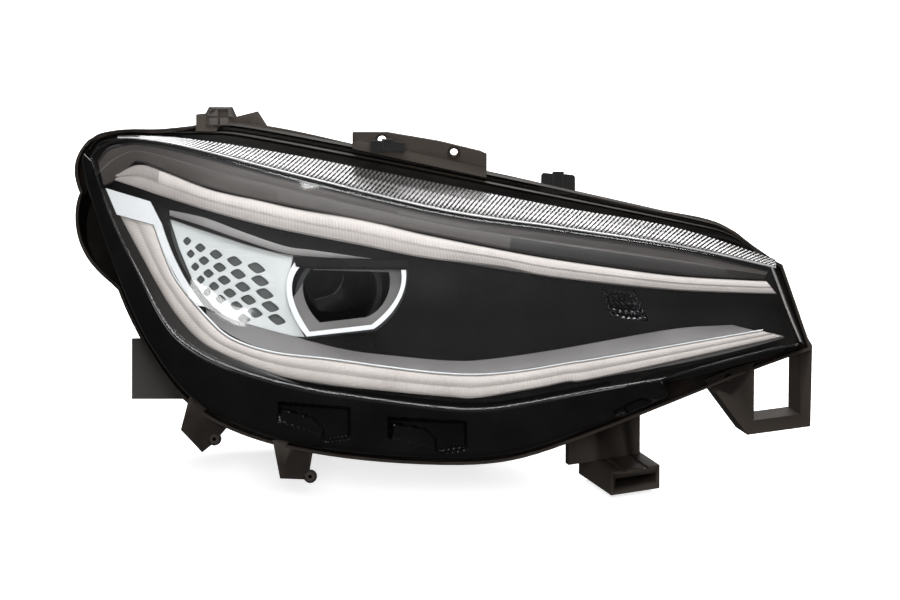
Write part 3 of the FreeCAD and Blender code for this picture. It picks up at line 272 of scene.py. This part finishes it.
def bevelled(obj, width, segments=2):
    """Small rounded edges, wherever two faces meet at more than 35 degrees."""
    modifier = obj.modifiers.new("edge", "BEVEL")
    modifier.width = width * MM
    modifier.segments = segments
    modifier.limit_method = "ANGLE"
    modifier.angle_limit = math.radians(35)
    modifier.use_clamp_overlap = True


for name, obj in frame["nodes"].items():
    obj.data.materials.clear()
    obj.data.materials.append(SHADER[slots[name]])

# ---------------------------------------------------------------- mesh helpers


def smooth_curve(points, count):
    """Evenly spaced points along a smooth curve through some others, in lamp X and Z."""
    given = [Vector(point) for point in points]
    ends = [2 * given[0] - given[1]] + given + [2 * given[-1] - given[-2]]
    fine = []
    for a, b, c, d in zip(ends, ends[1:], ends[2:], ends[3:]):
        for step in range(16):
            t = step / 16
            square = (2 * a - 5 * b + 4 * c - d) * t ** 2
            cube = (3 * b - 3 * c + d - a) * t ** 3
            fine.append(0.5 * (2 * b + (c - a) * t + square + cube))
    fine.append(given[-1])
    travelled = [0]
    for a, b in zip(fine, fine[1:]):
        travelled.append(travelled[-1] + (b - a).length)
    spaced = []
    index = 0
    for step in range(count):
        target = travelled[-1] * step / (count - 1)
        while index < len(fine) - 2 and travelled[index + 1] < target:
            index += 1
        share = (target - travelled[index]) / max(travelled[index + 1] - travelled[index], 1e-9)
        spaced.append(fine[index].lerp(fine[index + 1], min(max(share, 0), 1)))
    return spaced


def piece(name, points, faces, slot, finishes=None, replaces=(), smooth=35):
    """A fixed piece of the lamp, from points in the lamp frame. A face may carry the number of its finish."""
    mesh = bpy.data.meshes.new(name)
    corners = [face[:-1] if finishes else face for face in faces]
    mesh.from_pydata([lamp_point(*point) for point in points], [], corners)
    for finish in finishes or [slot]:
        mesh.materials.append(SHADER[finish])
    if finishes:
        for polygon, face in zip(mesh.polygons, faces):
            polygon.material_index = face[-1]
    work = bmesh.new()
    work.from_mesh(mesh)
    bmesh.ops.remove_doubles(work, verts=work.verts, dist=1e-6)
    bmesh.ops.recalc_face_normals(work, faces=work.faces)
    work.to_mesh(mesh)
    work.free()
    mesh.shade_smooth()
    mesh.set_sharp_from_angle(angle=math.radians(smooth))
    obj = bpy.data.objects.new(name, mesh)
    bpy.context.scene.collection.objects.link(obj)
    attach(obj, "lamp_body")
    if replaces:
        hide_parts(*replaces)
    return obj


def thickened(obj, thickness):
    """Gives a skin its wall."""
    modifier = obj.modifiers.new("wall", "SOLIDIFY")
    modifier.thickness = thickness * MM
    modifier.offset = -1


def grid_faces(rows, columns, closed=False, tones=None):
    """The faces of a grid of points, row after row. A closed one joins its last column to its first.
    tones, if given, says each face's finish from its row's share and its column."""
    faces = []
    last = columns if closed else columns - 1
    for i in range(rows - 1):
        for j in range(last):
            k = (j + 1) % columns
            face = (i * columns + j, i * columns + k, (i + 1) * columns + k, (i + 1) * columns + j)
            faces.append(face + ((tones(i / rows, j),) if tones else ()))
    return faces


def ribbon(name, top, low, profile, slot, stations=160, finishes=None, tones=None, surface=lens_y, shape=None,
           closed=True, **options):
    """A strip between two edge curves. Its section is a list of (share of the way down, depth).
    shape, if given, adds to the depth at (station's share, share of the way down, x, z)."""
    upper, lower = smooth_curve(top, stations), smooth_curve(low, stations)
    points = []
    for i, (a, b) in enumerate(zip(upper, lower)):
        for share, depth in profile:
            x, z = a.lerp(b, share)
            more = shape(i / (stations - 1), share, x, z) if shape else 0
            points.append((x, surface(x, z) + depth + more, z))
    columns = len(profile)
    by_column = (lambda along, j: tones[j]) if isinstance(tones, list) else tones
    faces = grid_faces(stations, columns, closed, by_column)
    if closed:
        ends = [tuple(range(columns)), tuple(range((stations - 1) * columns, stations * columns))]
        faces += [end + ((0,) if tones else ()) for end in ends]
    return piece(name, points, faces, slot, finishes, **options)


# ---------------------------------------------------------------- clear lens

WINDOW_TOP = [
    (-338, 134), (-330, 147), (-314, 151.5), (-290, 151), (-245, 143), (-140, 115.5), (-8, 83.5), (99, 67.5),
    (209, 50.5), (300, 31),
]
WINDOW_LOW = [
    (-336.7, 130.2), (-316, 74), (-293, 28), (-265, -23), (-237, -48.5), (-195, -67), (-139.5, -82),
    (-84, -91), (-9, -100.5), (28, -102), (65, -97.5), (139.5, -83.5), (232, -67), (324, -41),
]
CREASE = [
    (-312, 152), (-290, 151), (-245, 143), (-140, 115.5), (-8, 83.5), (99, 67.5), (209, 50.5), (303, 30),
]
RIB_TOP = [(-312, 154), (-290, 154), (-238, 150), (-140, 134), (-8, 108), (99, 87), (209, 67.5), (303, 38)]

WINDOW_ROWS = 40
window = ribbon(
    "clear_window", WINDOW_TOP, WINDOW_LOW, [(row / WINDOW_ROWS, 0) for row in range(WINDOW_ROWS + 1)],
    "clear_lens", closed=False, stations=320, replaces=["outer_lens"],
)
thickened(window, 2.6)

RIB_COUNT = 158
RIB_RISE = 1.3  # how far a rib's crest stands above its valley
CREST = 0.6  # where a rib's crest is across it, from 0 to 1
BAND_FALL = 1.45  # how fast the band falls back above the crease
RIB_SLANT = 3.6  # how many ribs a rib leans over, from the crease to the rib line
FINE = 6  # stations in each rib


def rib_phase(along, up):
    """How far across its rib a point of the band is, from 0 to 1."""
    return (along * RIB_COUNT - RIB_SLANT * up) % 1.0


def rib_height(along, up):
    """Slanted saw-tooth ribs, which fade in at the outer end and stop short of the crease."""
    phase = rib_phase(along, up)
    fade = min(1, max(0, (along - 0.10) * 14)) * min(1, max(0, (up - 0.12) * 12))
    return RIB_RISE * fade * (phase / CREST if phase < CREST else (1 - phase) / (1 - CREST))


def rib_band():
    """The lens's upper band, which falls back from the crease to the rib line and on to the housing."""
    stations, rows, wall = RIB_COUNT * FINE + 1, 16, 4
    pale, dark, smoke, far = range(4)
    finishes = ["lens_ribs_painted_highlight", "lens_ribs_painted_shade", "lens_smoke", "lens_ribs_far_painted_highlight"]
    crease, top = smooth_curve(CREASE, stations), smooth_curve(RIB_TOP, stations)
    points, faces = [], []
    for i, (a, b) in enumerate(zip(crease, top)):
        along = i / (stations - 1)
        for row in range(rows + 1):
            up = row / rows
            x, z = a.lerp(b, up)
            y = lens_y(x, a.y) + BAND_FALL * max(0, z - a.y) - rib_height(along, up)
            points.append((x, y, z))
        last = max(y, lens_y(b.x, a.y) + BAND_FALL * (b.y - a.y))
        back = max(parting_y(b.x, b.y) + 10, last)
        for step in range(1, wall + 1):
            points.append((b.x, last + (back - last) * step / wall, b.y))
    columns = rows + wall + 1
    for i in range(stations - 1):
        for j in range(columns - 1):
            k = i * columns + j
            along, up = (i + 0.5) / (stations - 1), (j + 0.5) / rows
            # Each rib's crest faces carry a painted glint, fainter above 0.6 of the way up, and its other
            # faces and the back wall a painted shade
            plain = along < 0.10 + 0.02 * math.sin(j) or up < 0.10
            crest = far if up > 0.6 else pale
            tone = smoke if plain else (crest if rib_phase(along, up) < 0.52 else dark)
            if j >= rows:
                tone = dark
            faces.append((k, k + 1, k + 1 + columns, k + columns, tone))
    return piece("lens_rib_band", points, faces, "clear_lens", finishes, smooth=22)


rib_band()

CREASE_TOP = [(x, z + 1.1) for x, z in CREASE]
CREASE_LOW = [(x, z - 0.6) for x, z in CREASE]
CREASE_SECTION = [(0, 0.8), (0.2, -0.1), (0.5, -0.5), (0.8, -0.1), (1, 0.8), (1, 1.6), (0, 1.6)]
# The crease bead, whose pale body paints the bright line along the crease
ribbon(
    "lens_crease", CREASE_TOP, CREASE_LOW, CREASE_SECTION, "clear_lens", stations=260, finishes=["lens_crease_painted_highlight"],
    tones=[0] * 7,
)
# The lens's right end; its pale body is a painted reflection along that edge
RIGHT_IN = [(298, 31), (305, 12), (313, -10), (325, -38.5)]
RIGHT_OUT = [(300.5, 31), (307.5, 12), (315.5, -10), (327.5, -39.5)]
RIGHT_SECTION = [(0, 0.6), (0.3, 0.0), (0.7, 0.2), (1, 2.2), (1, 30), (0.7, 30), (0.6, 3), (0, 2.6)]
ribbon(
    "lens_right_edge", RIGHT_IN, RIGHT_OUT, RIGHT_SECTION, "clear_lens", stations=40, finishes=["lens_ribs_painted_highlight"],
    tones=[0] * 8,
)

# ---------------------------------------------------------------- black border of the lens

BORDER_IN = WINDOW_LOW[:-1] + [(318, -43)]
BORDER_OUT = [
    (-345, 138), (-345, 125), (-331, 78), (-302, 2), (-277, -46), (-238, -93), (-177, -124), (-110, -139),
    (-16, -147), (55, -143), (116, -124), (198, -91), (201, -74), (284, -50), (328.5, -41),
]
# Each pocket: its outline, its depth, and the sloping block in it
POCKETS = [
    ([(-160, -94), (-92, -99), (-92, -129), (-114, -132), (-160, -114)], 14,
     [(-158, -99), (-128, -108), (-116, -119), (-117, -131), (-160, -116)]),
    ([(-58, -108), (16, -112), (16, -139), (-8, -143), (-58, -129)], 14,
     [(-54, -113), (-24, -118), (-12, -128), (-12, -143), (-56, -130)]),
    ([(140, -87), (176, -90), (199, -80), (199, -104), (152, -108)], 10,
     [(142, -90), (160, -93), (166, -106), (150, -108)]),
]


def inside_distance(x, z, outline):
    """How far a point is inside a convex outline, or a number below 0 outside it."""
    best = 1e9
    for (ax, az), (bx, bz) in zip(outline, outline[1:] + outline[:1]):
        length = math.hypot(bx - ax, bz - az)
        best = min(best, ((az - z) * (bx - ax) - (ax - x) * (bz - az)) / length)
    return best


def eased(value, width):
    """A soft step from 0 to 1 over a width."""
    share = min(1, max(0, value / width))
    return share * share * (3 - 2 * share)


def border_depth(x, z):
    """The border's shape: it sinks a little at its right tip, and each pocket has a sloping block in it."""
    depth = 1.6 * eased(x - 250, 50)
    for outline, deep, block in POCKETS:
        fall = deep * eased(inside_distance(x, z, outline), 3.2)
        left = min(corner[0] for corner in block)
        rise = (0.75 - 0.010 * (x - left)) * deep * eased(inside_distance(x, z, block), 2.2)
        depth += max(0, fall - rise)
    return depth


# The border's section, from its inner edge to its outer one, as (share of the way, depth), and its wall
FACE_ROWS = 44
BORDER_SECTION = [(0.0, 3.0), (0.0, 0.8), (0.03, 0.1)]
BORDER_SECTION += [(0.05 + 0.85 * row / FACE_ROWS, 0) for row in range(FACE_ROWS + 1)]
BORDER_SECTION += [(0.94, 0.6), (0.975, 2.2), (1.0, 5.5)]
WALL_SHARES = (0.3, 0.65, 1.0)


def border():
    """The border with its outer wall, which runs back to the housing."""
    stations = 760
    inner, outer = smooth_curve(BORDER_IN, stations), smooth_curve(BORDER_OUT, stations)
    points = []
    for i, (a, b) in enumerate(zip(inner, outer)):
        for share, depth in BORDER_SECTION:
            x, z = a.lerp(b, share)
            points.append((x, lens_y(x, z) + depth + border_depth(x, z), z))
        front, back = lens_y(b.x, b.y) + BORDER_SECTION[-1][1], parting_y(b.x, b.y) + 10
        for share in WALL_SHARES:
            points.append((b.x, front + (back - front) * share, b.y))
    columns = len(BORDER_SECTION) + len(WALL_SHARES)
    faces = grid_faces(stations, columns)
    return piece("border_skirt", points, faces, "gloss_black", replaces=["lens_border"])


thickened(border(), 2.4)

# ---------------------------------------------------------------- channel round the lens

FLANGE_TOP = [
    (-344, 146), (-337, 154), (-326, 158.5), (-302, 161), (-270, 161), (-225, 165), (-195, 165), (-95, 146.5),
    (61, 114.5), (209, 81.5), (258, 68.5), (282, 52), (309, 33.5),
]
CHANNEL_LOW = [
    (-338, 138), (-331, 147), (-318, 152), (-300, 155), (-270, 154), (-238, 151), (-200, 146), (-95, 126),
    (61, 95), (209, 68), (255, 59), (280, 46), (303, 33),
]
ribbon(
    "rim_channel", FLANGE_TOP, CHANNEL_LOW,
    [(0, 22), (0.0, 3), (0.03, -1.0), (0.14, -1.6), (0.18, 4), (0.24, 9), (0.36, 9.5), (0.42, 4), (0.46, 1),
     (0.54, 0.6), (0.6, 4), (0.66, 11), (0.95, 12), (1.0, 12), (1.0, 22)],
    "housing_plastic", surface=parting_y, stations=240, finishes=["flange_gloss"], tones=[0] * 15,
)

# ---------------------------------------------------------------- light guides

UPPER_GUIDE_TOP = [
    (-312.7, 118.1), (-292, 126.5), (-268, 120), (-224, 103), (-179.5, 93), (-139.5, 84), (-82, 74.4),
    (-23, 60.5), (46.5, 46.5), (88, 39), (149, 30), (209, 22.3), (270, 18.6), (294, 17.7),
]
UPPER_GUIDE_LOW = [
    (-315.6, 112.5), (-292, 105), (-268, 96.7), (-224, 82.8), (-179.5, 70.7), (-139.5, 61.8), (-82, 50.7),
    (-23, 39), (46.5, 30.7), (88, 22.3), (149, 15), (209, 9.3), (270, 6.5), (304, 5.6),
]
LOWER_GUIDE_OUT = [
    (-309.7, 79), (-288, 40), (-263, -3), (-239, -32.6), (-214, -49.3), (-164.6, -68.5), (-114, -78),
    (-47, -85.6), (0, -89.7), (26, -90.6), (81, -81.8), (109, -76), (139.5, -72), (311, -34),
]
LOWER_GUIDE_IN = [
    (-277, 69.8), (-263, 32.6), (-251, 12), (-224, -19.5), (-202, -37.2), (-164.6, -49.3), (-112, -55.5),
    (-63, -62.3), (-16, -67.9), (24, -69.8), (64, -66.5), (112.5, -58.6), (139.5, -54.5), (290, -28.8),
]


def ridges(along, down, x, z):
    """Fine ridges across a light guide."""
    return 0.14 * math.sin(along * 2 * math.pi * 210)


def guide_section(near, far):
    """A light guide's section: a rounded upper bead, a groove and a rounded lower bead."""
    section = [(0, near + 2.4), (0.04, near + 0.9), (0.12, near), (0.3, near - 0.2), (0.44, near + 0.4)]
    section += [(0.5, near + 1.6), (0.55, near + 1.8), (0.62, near + 1.2), (0.78, near + 1.0)]
    section += [(0.92, near + 1.6), (1, near + 3.6)]
    return section + [(1, far), (0, far)]


# 0 marks the upper bead's faces, which carry a painted highlight; 1 the rest, painted shade on the upper
# guide and the plain guide colour on the lower one
GUIDE_PAINTED_LIGHT_TONES = [1, 0, 0, 0, 0, 1, 1, 1, 1, 1, 1, 1, 1]


def upper_guide_painted_light_tone(along, column):
    """The upper light guide's upper bead has a painted highlight, except near its outer end, and the rest of
    it has a painted shade.
    """
    return 1 if along < 0.07 else GUIDE_PAINTED_LIGHT_TONES[column]


ribbon(
    "upper_guide_bar", UPPER_GUIDE_TOP, UPPER_GUIDE_LOW, guide_section(9, 17), "light_guide", stations=900,
    finishes=["guide_painted_highlight", "guide_painted_shade"], tones=upper_guide_painted_light_tone, shape=ridges,
    replaces=["upper_light_guide"],
)
ribbon(
    "lower_guide_bar", LOWER_GUIDE_IN, LOWER_GUIDE_OUT, guide_section(9, 17), "light_guide", stations=900,
    finishes=["guide_painted_highlight", "light_guide"], tones=GUIDE_PAINTED_LIGHT_TONES, shape=ridges, replaces=["lower_light_guide"],
)
LINE_IN = [(x + 1.2, z + 1.6) for x, z in LOWER_GUIDE_IN]
LINE_OUT = [(x + 0.2, z + 0.1) for x, z in LOWER_GUIDE_IN]
LINE_SECTION = [(0, 8.6), (0.5, 8.0), (1, 8.6), (1, 14), (0, 14)]
ribbon("lower_guide_line", LINE_IN, LINE_OUT, LINE_SECTION, "white_trim", stations=260)

# ---------------------------------------------------------------- trims

TRIM_TOP = [
    (-331, 131), (-322, 143), (-306, 147), (-288, 147), (-245, 139), (-140, 111.5), (-8, 79.5), (99, 63.5),
    (209, 47), (296, 27),
]
TRIM_LOW = [
    (-325, 107), (-312, 113), (-300, 125), (-286, 128), (-224, 104.5), (-139.5, 85.5), (-23, 62), (88, 40.6),
    (209, 24), (292, 19),
]
TRIM_SECTION = [
    (0, 16), (0.04, 9.6), (0.12, 8.6), (0.4, 8.4), (0.44, 8.9), (0.48, 8.5), (0.9, 9.2), (0.97, 10.5),
    (1, 13), (1, 24), (0, 24),
]
# Column 3 is the pale line, a painted reflection on the trim
TRIM_TONES = [2, 2, 0, 1, 0, 0, 0, 2, 2, 2, 2]


def trim_tone(along, column):
    """The trim has brown faces and a pale line, which is a painted reflection, and its lower face is dark
    towards the inner tip.
    """
    return 2 if column in (5, 6) and along >= 0.62 else TRIM_TONES[column]


ribbon(
    "upper_trim_skin", TRIM_TOP, TRIM_LOW, TRIM_SECTION, "dark_bezel", stations=220,
    finishes=["trim_brown", "trim_painted_reflection", "trim_dark"], tones=trim_tone, replaces=["upper_trim"],
)
SIDE_OUT = [(-327, 104), (-318, 79), (-296, 31), (-268, -20), (-240, -45), (-197, -63.5), (-141, -78)]
SIDE_IN = [(-312, 100), (-306, 80), (-285, 41), (-260, -2), (-236, -32), (-211, -49), (-162, -69)]
SIDE_SECTION = [(0, 14), (0.05, 10), (0.5, 11), (0.95, 12.5), (1, 16), (1, 24), (0, 24)]
ribbon(
    "side_band", SIDE_OUT, SIDE_IN, SIDE_SECTION, "dark_bezel", stations=120, finishes=["trim_dark"],
    tones=[0] * 7,
)

SATIN_TOP = [
    (-227, -9), (-192, -21), (-152, -32), (-96, -46), (-47, -52), (0, -56), (32, -55), (97, -46), (205, -27),
    (262, -23),
]
SATIN_LOW = [
    (-226, -17), (-200, -35), (-165, -48), (-112, -54), (-63, -60.8), (-16, -66.4), (24, -68.3), (64, -65),
    (139.5, -53), (284, -28.5),
]
ribbon(
    "satin_ledge", SATIN_TOP, SATIN_LOW,
    [(0, 28), (0.03, 25), (0.1, 23.6), (0.45, 18.5), (0.85, 13.2), (0.95, 12.4), (1, 13.4), (1, 26), (0, 29)],
    "satin_silver", stations=200, replaces=["satin_trim"],
)
for name in ("side_trim", "projector_ring"):
    bevelled(frame["nodes"][name], 0.7, 3)
for name in ("bezel", "projector_shroud", "honeycomb_backing"):
    bevelled(frame["nodes"][name], 0.5, 2)
for name in (
    "upper_outer_bracket", "upper_centre_bracket", "inner_loop_bracket", "lower_guide_bracket",
    "lower_outer_tab", "lower_middle_tab", "control_unit", "main_connector", "service_cap", "carrier_yoke",
    "swivel_actuator", "optic_housing", "levelling_motor", "lens_holder", "vent_caps", "side_driver_unit",
):
    bevelled(frame["nodes"][name], 1.0, 3)
bevelled(frame["nodes"]["housing"], 0.8, 2)

# ---------------------------------------------------------------- honeycomb panel


def flat_piece(name, outlines, near, far, slot, surface=lens_y, edge=0.6, finish=None, **options):
    """A plate laid on a surface. The first outline, in lamp X and Z, is its edge. The others are holes."""
    curve = bpy.data.curves.new(name, "CURVE")
    curve.dimensions = "2D"
    curve.fill_mode = "BOTH"
    curve.extrude = (far - near) / 2 - edge
    curve.bevel_depth = edge
    curve.bevel_resolution = 2
    curve.offset = -edge
    for outline in outlines:
        spline = curve.splines.new("POLY")
        spline.points.add(len(outline) - 1)
        for point, (x, z) in zip(spline.points, outline):
            point.co = (x, z, 0, 1)
        spline.use_cyclic_u = True
    flat = bpy.data.objects.new(name, curve)
    mesh = bpy.data.meshes.new_from_object(flat)
    middle = (near + far) / 2
    points = [(v.co.x, surface(v.co.x, v.co.y) + middle - v.co.z, v.co.y) for v in mesh.vertices]
    faces = [tuple(polygon.vertices) + ((0,) if finish else ()) for polygon in mesh.polygons]
    bpy.data.objects.remove(flat)
    return piece(name, points, faces, slot, [finish] if finish else None, **options)


def diamond(x, z, wide, high, lean, count=20):
    """A rounded diamond, leaning down to the right."""
    points = []
    for step in range(count):
        angle = 2 * math.pi * step / count
        c, s = math.cos(angle), math.sin(angle)
        reach = (abs(c) ** 1.3 + abs(s) ** 1.3) ** (-1 / 1.3)
        points.append((x + wide * reach * c, z + high * reach * s - lean * wide * reach * c))
    return points


PANEL_EDGE = [
    (-262, 76), (-240, 68), (-214, 59.5), (-190, 51.5), (-165, 44.5), (-146, 40.5), (-152, 12), (-148.5, -9),
    (-135, -34.5),
    (-160, -33), (-176, -29), (-192, -24), (-208, -16), (-221, -6), (-231, 6), (-241, 20), (-253, 48),
]


def honeycomb_holes():
    """The panel's holes: small and round at its outer end, and wide leaning diamonds beside the projector."""
    holes = []
    for i in range(8):
        for j in range(7):
            x = -245.5 + 3.0 * i + 0.45 * i * i + 12.5 * (1.18 ** j - 1) / 0.18
            z = 55 - 12.0 * i - 6.3 * j
            grown = min(1, j / 5)
            wide, high = 3.9 + 5.6 * grown, 4.0 + 1.4 * grown
            reach = wide + 1.8
            around = ((-reach, 0.3 * reach), (reach, -0.3 * reach), (0, 6), (0, -6))
            if all(on_panel(x + dx, z + dz) for dx, dz in around):
                holes.append(diamond(x, z, wide, high, 0.32 * grown))
    return holes


def on_panel(x, z):
    """Whether a point lies inside the panel's edge."""
    crossings = 0
    for (ax, az), (bx, bz) in zip(PANEL_EDGE, PANEL_EDGE[1:] + PANEL_EDGE[:1]):
        if (az > z) != (bz > z) and x < ax + (bx - ax) * (z - az) / (bz - az):
            crossings += 1
    return crossings % 2 == 1


flat_piece(
    "honeycomb_plate", [PANEL_EDGE] + honeycomb_holes(), 30, 38, "panel_grey", edge=0.5,
    replaces=["honeycomb_panel"],
)

# The panel's pale upper lip, which curves forward to the bezel and runs on above the projector
CROWN_TOP = [(-262, 84), (-228, 76.5), (-192, 63), (-153, 50), (-125, 46), (-73, 38.5)]
CROWN_LOW = [(-262, 77), (-228, 65), (-192, 52.5), (-153, 41), (-125, 38), (-73, 36.5)]
ribbon(
    "panel_crown", CROWN_TOP, CROWN_LOW,
    [(0, 22.5), (0.08, 22), (0.3, 22.6), (0.6, 24.5), (0.85, 27.5), (1, 30), (1, 31), (0, 31)],
    "panel_grey", stations=120, finishes=["crown_grey"], tones=[0] * 8,
)
# The bezel's dark lid over the top of the projector ring, partly the bezel's overhang and partly a painted
# shade over the ring's top
LID_TOP = [(-146, 41), (-125, 39), (-96, 38.5), (-38, 38)]
LID_LOW = [(-143, 31), (-125, 29), (-96, 28.5), (-40, 28)]
ribbon(
    "bezel_lid_and_painted_shade", LID_TOP, LID_LOW, [(0, 21), (0.1, 20), (0.8, 20), (1, 21.5), (1, 24), (0, 24)], "dark_bezel",
    stations=60,
)

# ---------------------------------------------------------------- details of the brackets


def plate(name, outlines, y0, y1, slot="housing_plastic", edge=0.8, **options):
    """A flat moulding between two depths of the lamp frame."""
    return flat_piece(name, outlines, y0, y1, slot, surface=lambda x, z: 0, edge=edge, **options)


def circle(x, z, radius, count=28):
    """A round outline."""
    angles = [2 * math.pi * k / count for k in range(count)]
    return [(x + radius * math.cos(angle), z + radius * math.sin(angle)) for angle in angles]


def box_outline(x0, x1, z0, z1):
    """A rectangle's corners."""
    return [(x0, z0), (x1, z0), (x1, z1), (x0, z1)]


# Each clip tower: its outer side, its front and back, and its foot and top
TOWERS = {"left": (-74, 44, 66, 138, 150), "right": (85, 78, 92, 99, 120)}
for side, (x0, y0, y1, z0, z1) in TOWERS.items():
    tower = [
        (x0, z0), (x0 + 32, z0), (x0 + 32, z1 - 5), (x0 + 30, z1 - 3), (x0 + 20, z1 - 2), (x0 + 20, z1),
        (x0 + 12, z1), (x0 + 12, z1 - 2), (x0 + 2, z1 - 1), (x0, z1 - 3),
    ]
    stands_for = ["bonnet_seal_clips"] if side == "left" else ()
    plate(f"clip_tower_{side}", [tower], y0 + 1, y1, "black_plastic", replaces=stands_for)
    for number, offset in enumerate((10.5, 19.5)):
        rib = box_outline(x0 + offset, x0 + offset + 2, z0 + 1, z1)
        plate(f"clip_rib_{side}_{number}", [rib], y0 - 1, y0 + 3, "black_plastic", 0.3)

# The four square pockets in the front of the upper outer bracket
POCKET_RIM = [(-228, 163), (-228, 174), (-222, 180), (-205, 180), (-202, 171), (-203, 163)]
POCKET_HOLES = [box_outline(x, x + 7, z, z + 6) for x in (-225, -215) for z in (164.5, 172.5)]
plate("pocket_rim", [POCKET_RIM] + POCKET_HOLES, 106.5, 109.5, edge=0.4, finish="pocket_rim")

CLIP = [(237, -75), (262, -64), (284, -58), (276, -72), (262, -88), (250, -84)]
plate("lower_clip_plate", [CLIP, circle(260, -73, 4)], 62, 69, replaces=["lower_clip"])

# Raised rims round the centre bracket's holes, in its own plane
for name, x, z, radius in (("locating", 0, 0, 3.5), ("side", -67, 12, 4)):
    across = Matrix.Rotation(math.radians(-25), 4, "Z") @ Vector((x * MM, -0.001, z * MM))
    x0, y0, z0 = (value / MM for value in LAMP.inverted() @ across)
    outlines = [circle(x0, z0, radius + 2.6), circle(x0, z0, radius + 0.3)]
    plate(f"hole_rim_{name}", outlines, y0 - 1.2, y0 + 1.2, edge=0.3)

# Stiffening ribs on the housing's rear face, round the service opening and the connector
for number, x in enumerate((-290, -262, -234, -96, -68)):
    rib = box_outline(x, x + 2.4, -40 + 0.1 * abs(x + 165), 84)
    plate(f"rear_rib_{number}", [rib], BACK - 0.5, BACK + 4, edge=0.5)
for number, z in enumerate((-58, -36, -14)):
    bar = box_outline(-232 - 0.4 * z, 6, z, z + 2.4)
    plate(f"rear_bar_{number}", [bar], BACK - 0.5, BACK + 4, edge=0.5)

# ---------------------------------------------------------------- cornering reflector

CORNERING = [(140, 10), (172, 9), (185, -20), (150, -16)]


def cornering_cells():
    """A shallow dish of stepped ribs and cells, between its four corners."""
    columns, rows = 7, 5
    a, b, c, d = (Vector(corner) for corner in CORNERING)
    points, faces = [], []
    fine = 6
    width, height = columns * fine, rows * fine
    for j in range(height + 1):
        for i in range(width + 1):
            u, v = i / width, j / height
            x, z = a.lerp(b, u).lerp(d.lerp(c, u), v)
            bulge = math.sin(math.pi * (u * columns % 1)) * math.sin(math.pi * (v * rows % 1))
            dish = 10 * math.sin(math.pi * u) * math.sin(math.pi * v)
            points.append((x, lens_y(x, z) + 27.5 + dish - 1.8 * bulge, z))
    return points, grid_faces(height + 1, width + 1)


points, faces = cornering_cells()
cells = piece("cornering_cells", points, faces, "mirror_coat", replaces=["cornering_reflector"], smooth=25)
thickened(cells, 1.5)

# ---------------------------------------------------------------- camera, light and floor

camera = bpy.data.objects.new("camera", bpy.data.cameras.new("camera"))
camera.data.lens = 400
camera.data.sensor_width = 36
camera.data.clip_end = 100
AIM_POINT = (0, 40, 0)
DISTANCE = 9300
axes = LAMP.to_3x3()
turn = Matrix((axes.col[0], axes.col[2], -axes.col[1])).transposed()
camera.matrix_world = Matrix.Translation(lamp_point(0, AIM_POINT[1] - DISTANCE, 0)) @ turn.to_4x4()
bpy.context.scene.collection.objects.link(camera)
bpy.context.scene.camera = camera
bpy.context.scene.view_settings.view_transform = "Standard"


def area_light(name, place, size, power, glossy=True):
    """A soft light that faces the middle of the lamp."""
    light = bpy.data.lights.new(name, "AREA")
    light.shape = "RECTANGLE"
    light.size, light.size_y = size
    light.energy = power
    obj = bpy.data.objects.new(name, light)
    aim = lamp_point(-20, 60, 0) - Vector(place)
    obj.matrix_world = Matrix.Translation(place) @ aim.to_track_quat("-Z", "Y").to_matrix().to_4x4()
    obj.visible_glossy = glossy
    bpy.context.scene.collection.objects.link(obj)
    return obj


area_light("key", (-0.3, -0.9, 2.6), (2.4, 1.2), 70)
area_light("fill", (-1.2, -2.6, 0.9), (1.6, 1.6), 85, glossy=False)
area_light("back", (0.6, 1.8, 1.8), (2.0, 1.0), 90)
softbox = area_light("softbox", lamp_point(-1400, -1560, 330), (0.95, 0.16), 3.2)
softbox.visible_diffuse = False

world = bpy.data.worlds.new("studio")
bpy.context.scene.world = world
world.use_nodes = True
sky = world.node_tree
place = sky.nodes.new("ShaderNodeTexCoord")
split = sky.nodes.new("ShaderNodeSeparateXYZ")
ramp = sky.nodes.new("ShaderNodeValToRGB")
ramp.color_ramp.elements[0].position = 0.45
ramp.color_ramp.elements[0].color = (0.05, 0.05, 0.05, 1)
ramp.color_ramp.elements[1].position = 0.95
ramp.color_ramp.elements[1].color = (0.6, 0.6, 0.61, 1)
sky.links.new(place.outputs["Generated"], split.inputs["Vector"])
sky.links.new(split.outputs["Z"], ramp.inputs["Fac"])
sky.links.new(ramp.outputs["Color"], sky.nodes["Background"].inputs["Color"])
sky.nodes["Background"].inputs["Strength"].default_value = 1.0


def make_floor():
    """A large pale floor just under the lamp."""
    floor_z = cad_box[0][2] - 0.001
    half = 40
    mesh = bpy.data.meshes.new("floor")
    corners = [(-half, -half, floor_z), (half, -half, floor_z), (half, half, floor_z), (-half, half, floor_z)]
    mesh.from_pydata(corners, [], [(0, 1, 2, 3)])
    floor = bpy.data.objects.new("floor", mesh)
    bpy.context.scene.collection.objects.link(floor)
    solid("floor_pale", (0.80, 0.80, 0.80), (0.82, 0.82, 0.82), (0.8, 0.9), patch=0.5, grain=20, bump=0,
          glow=(0.72, 0.72, 0.72))
    mesh.materials.append(SHADER["floor_pale"])
    floor.visible_glossy = False
    floor.visible_diffuse = False


make_floor()
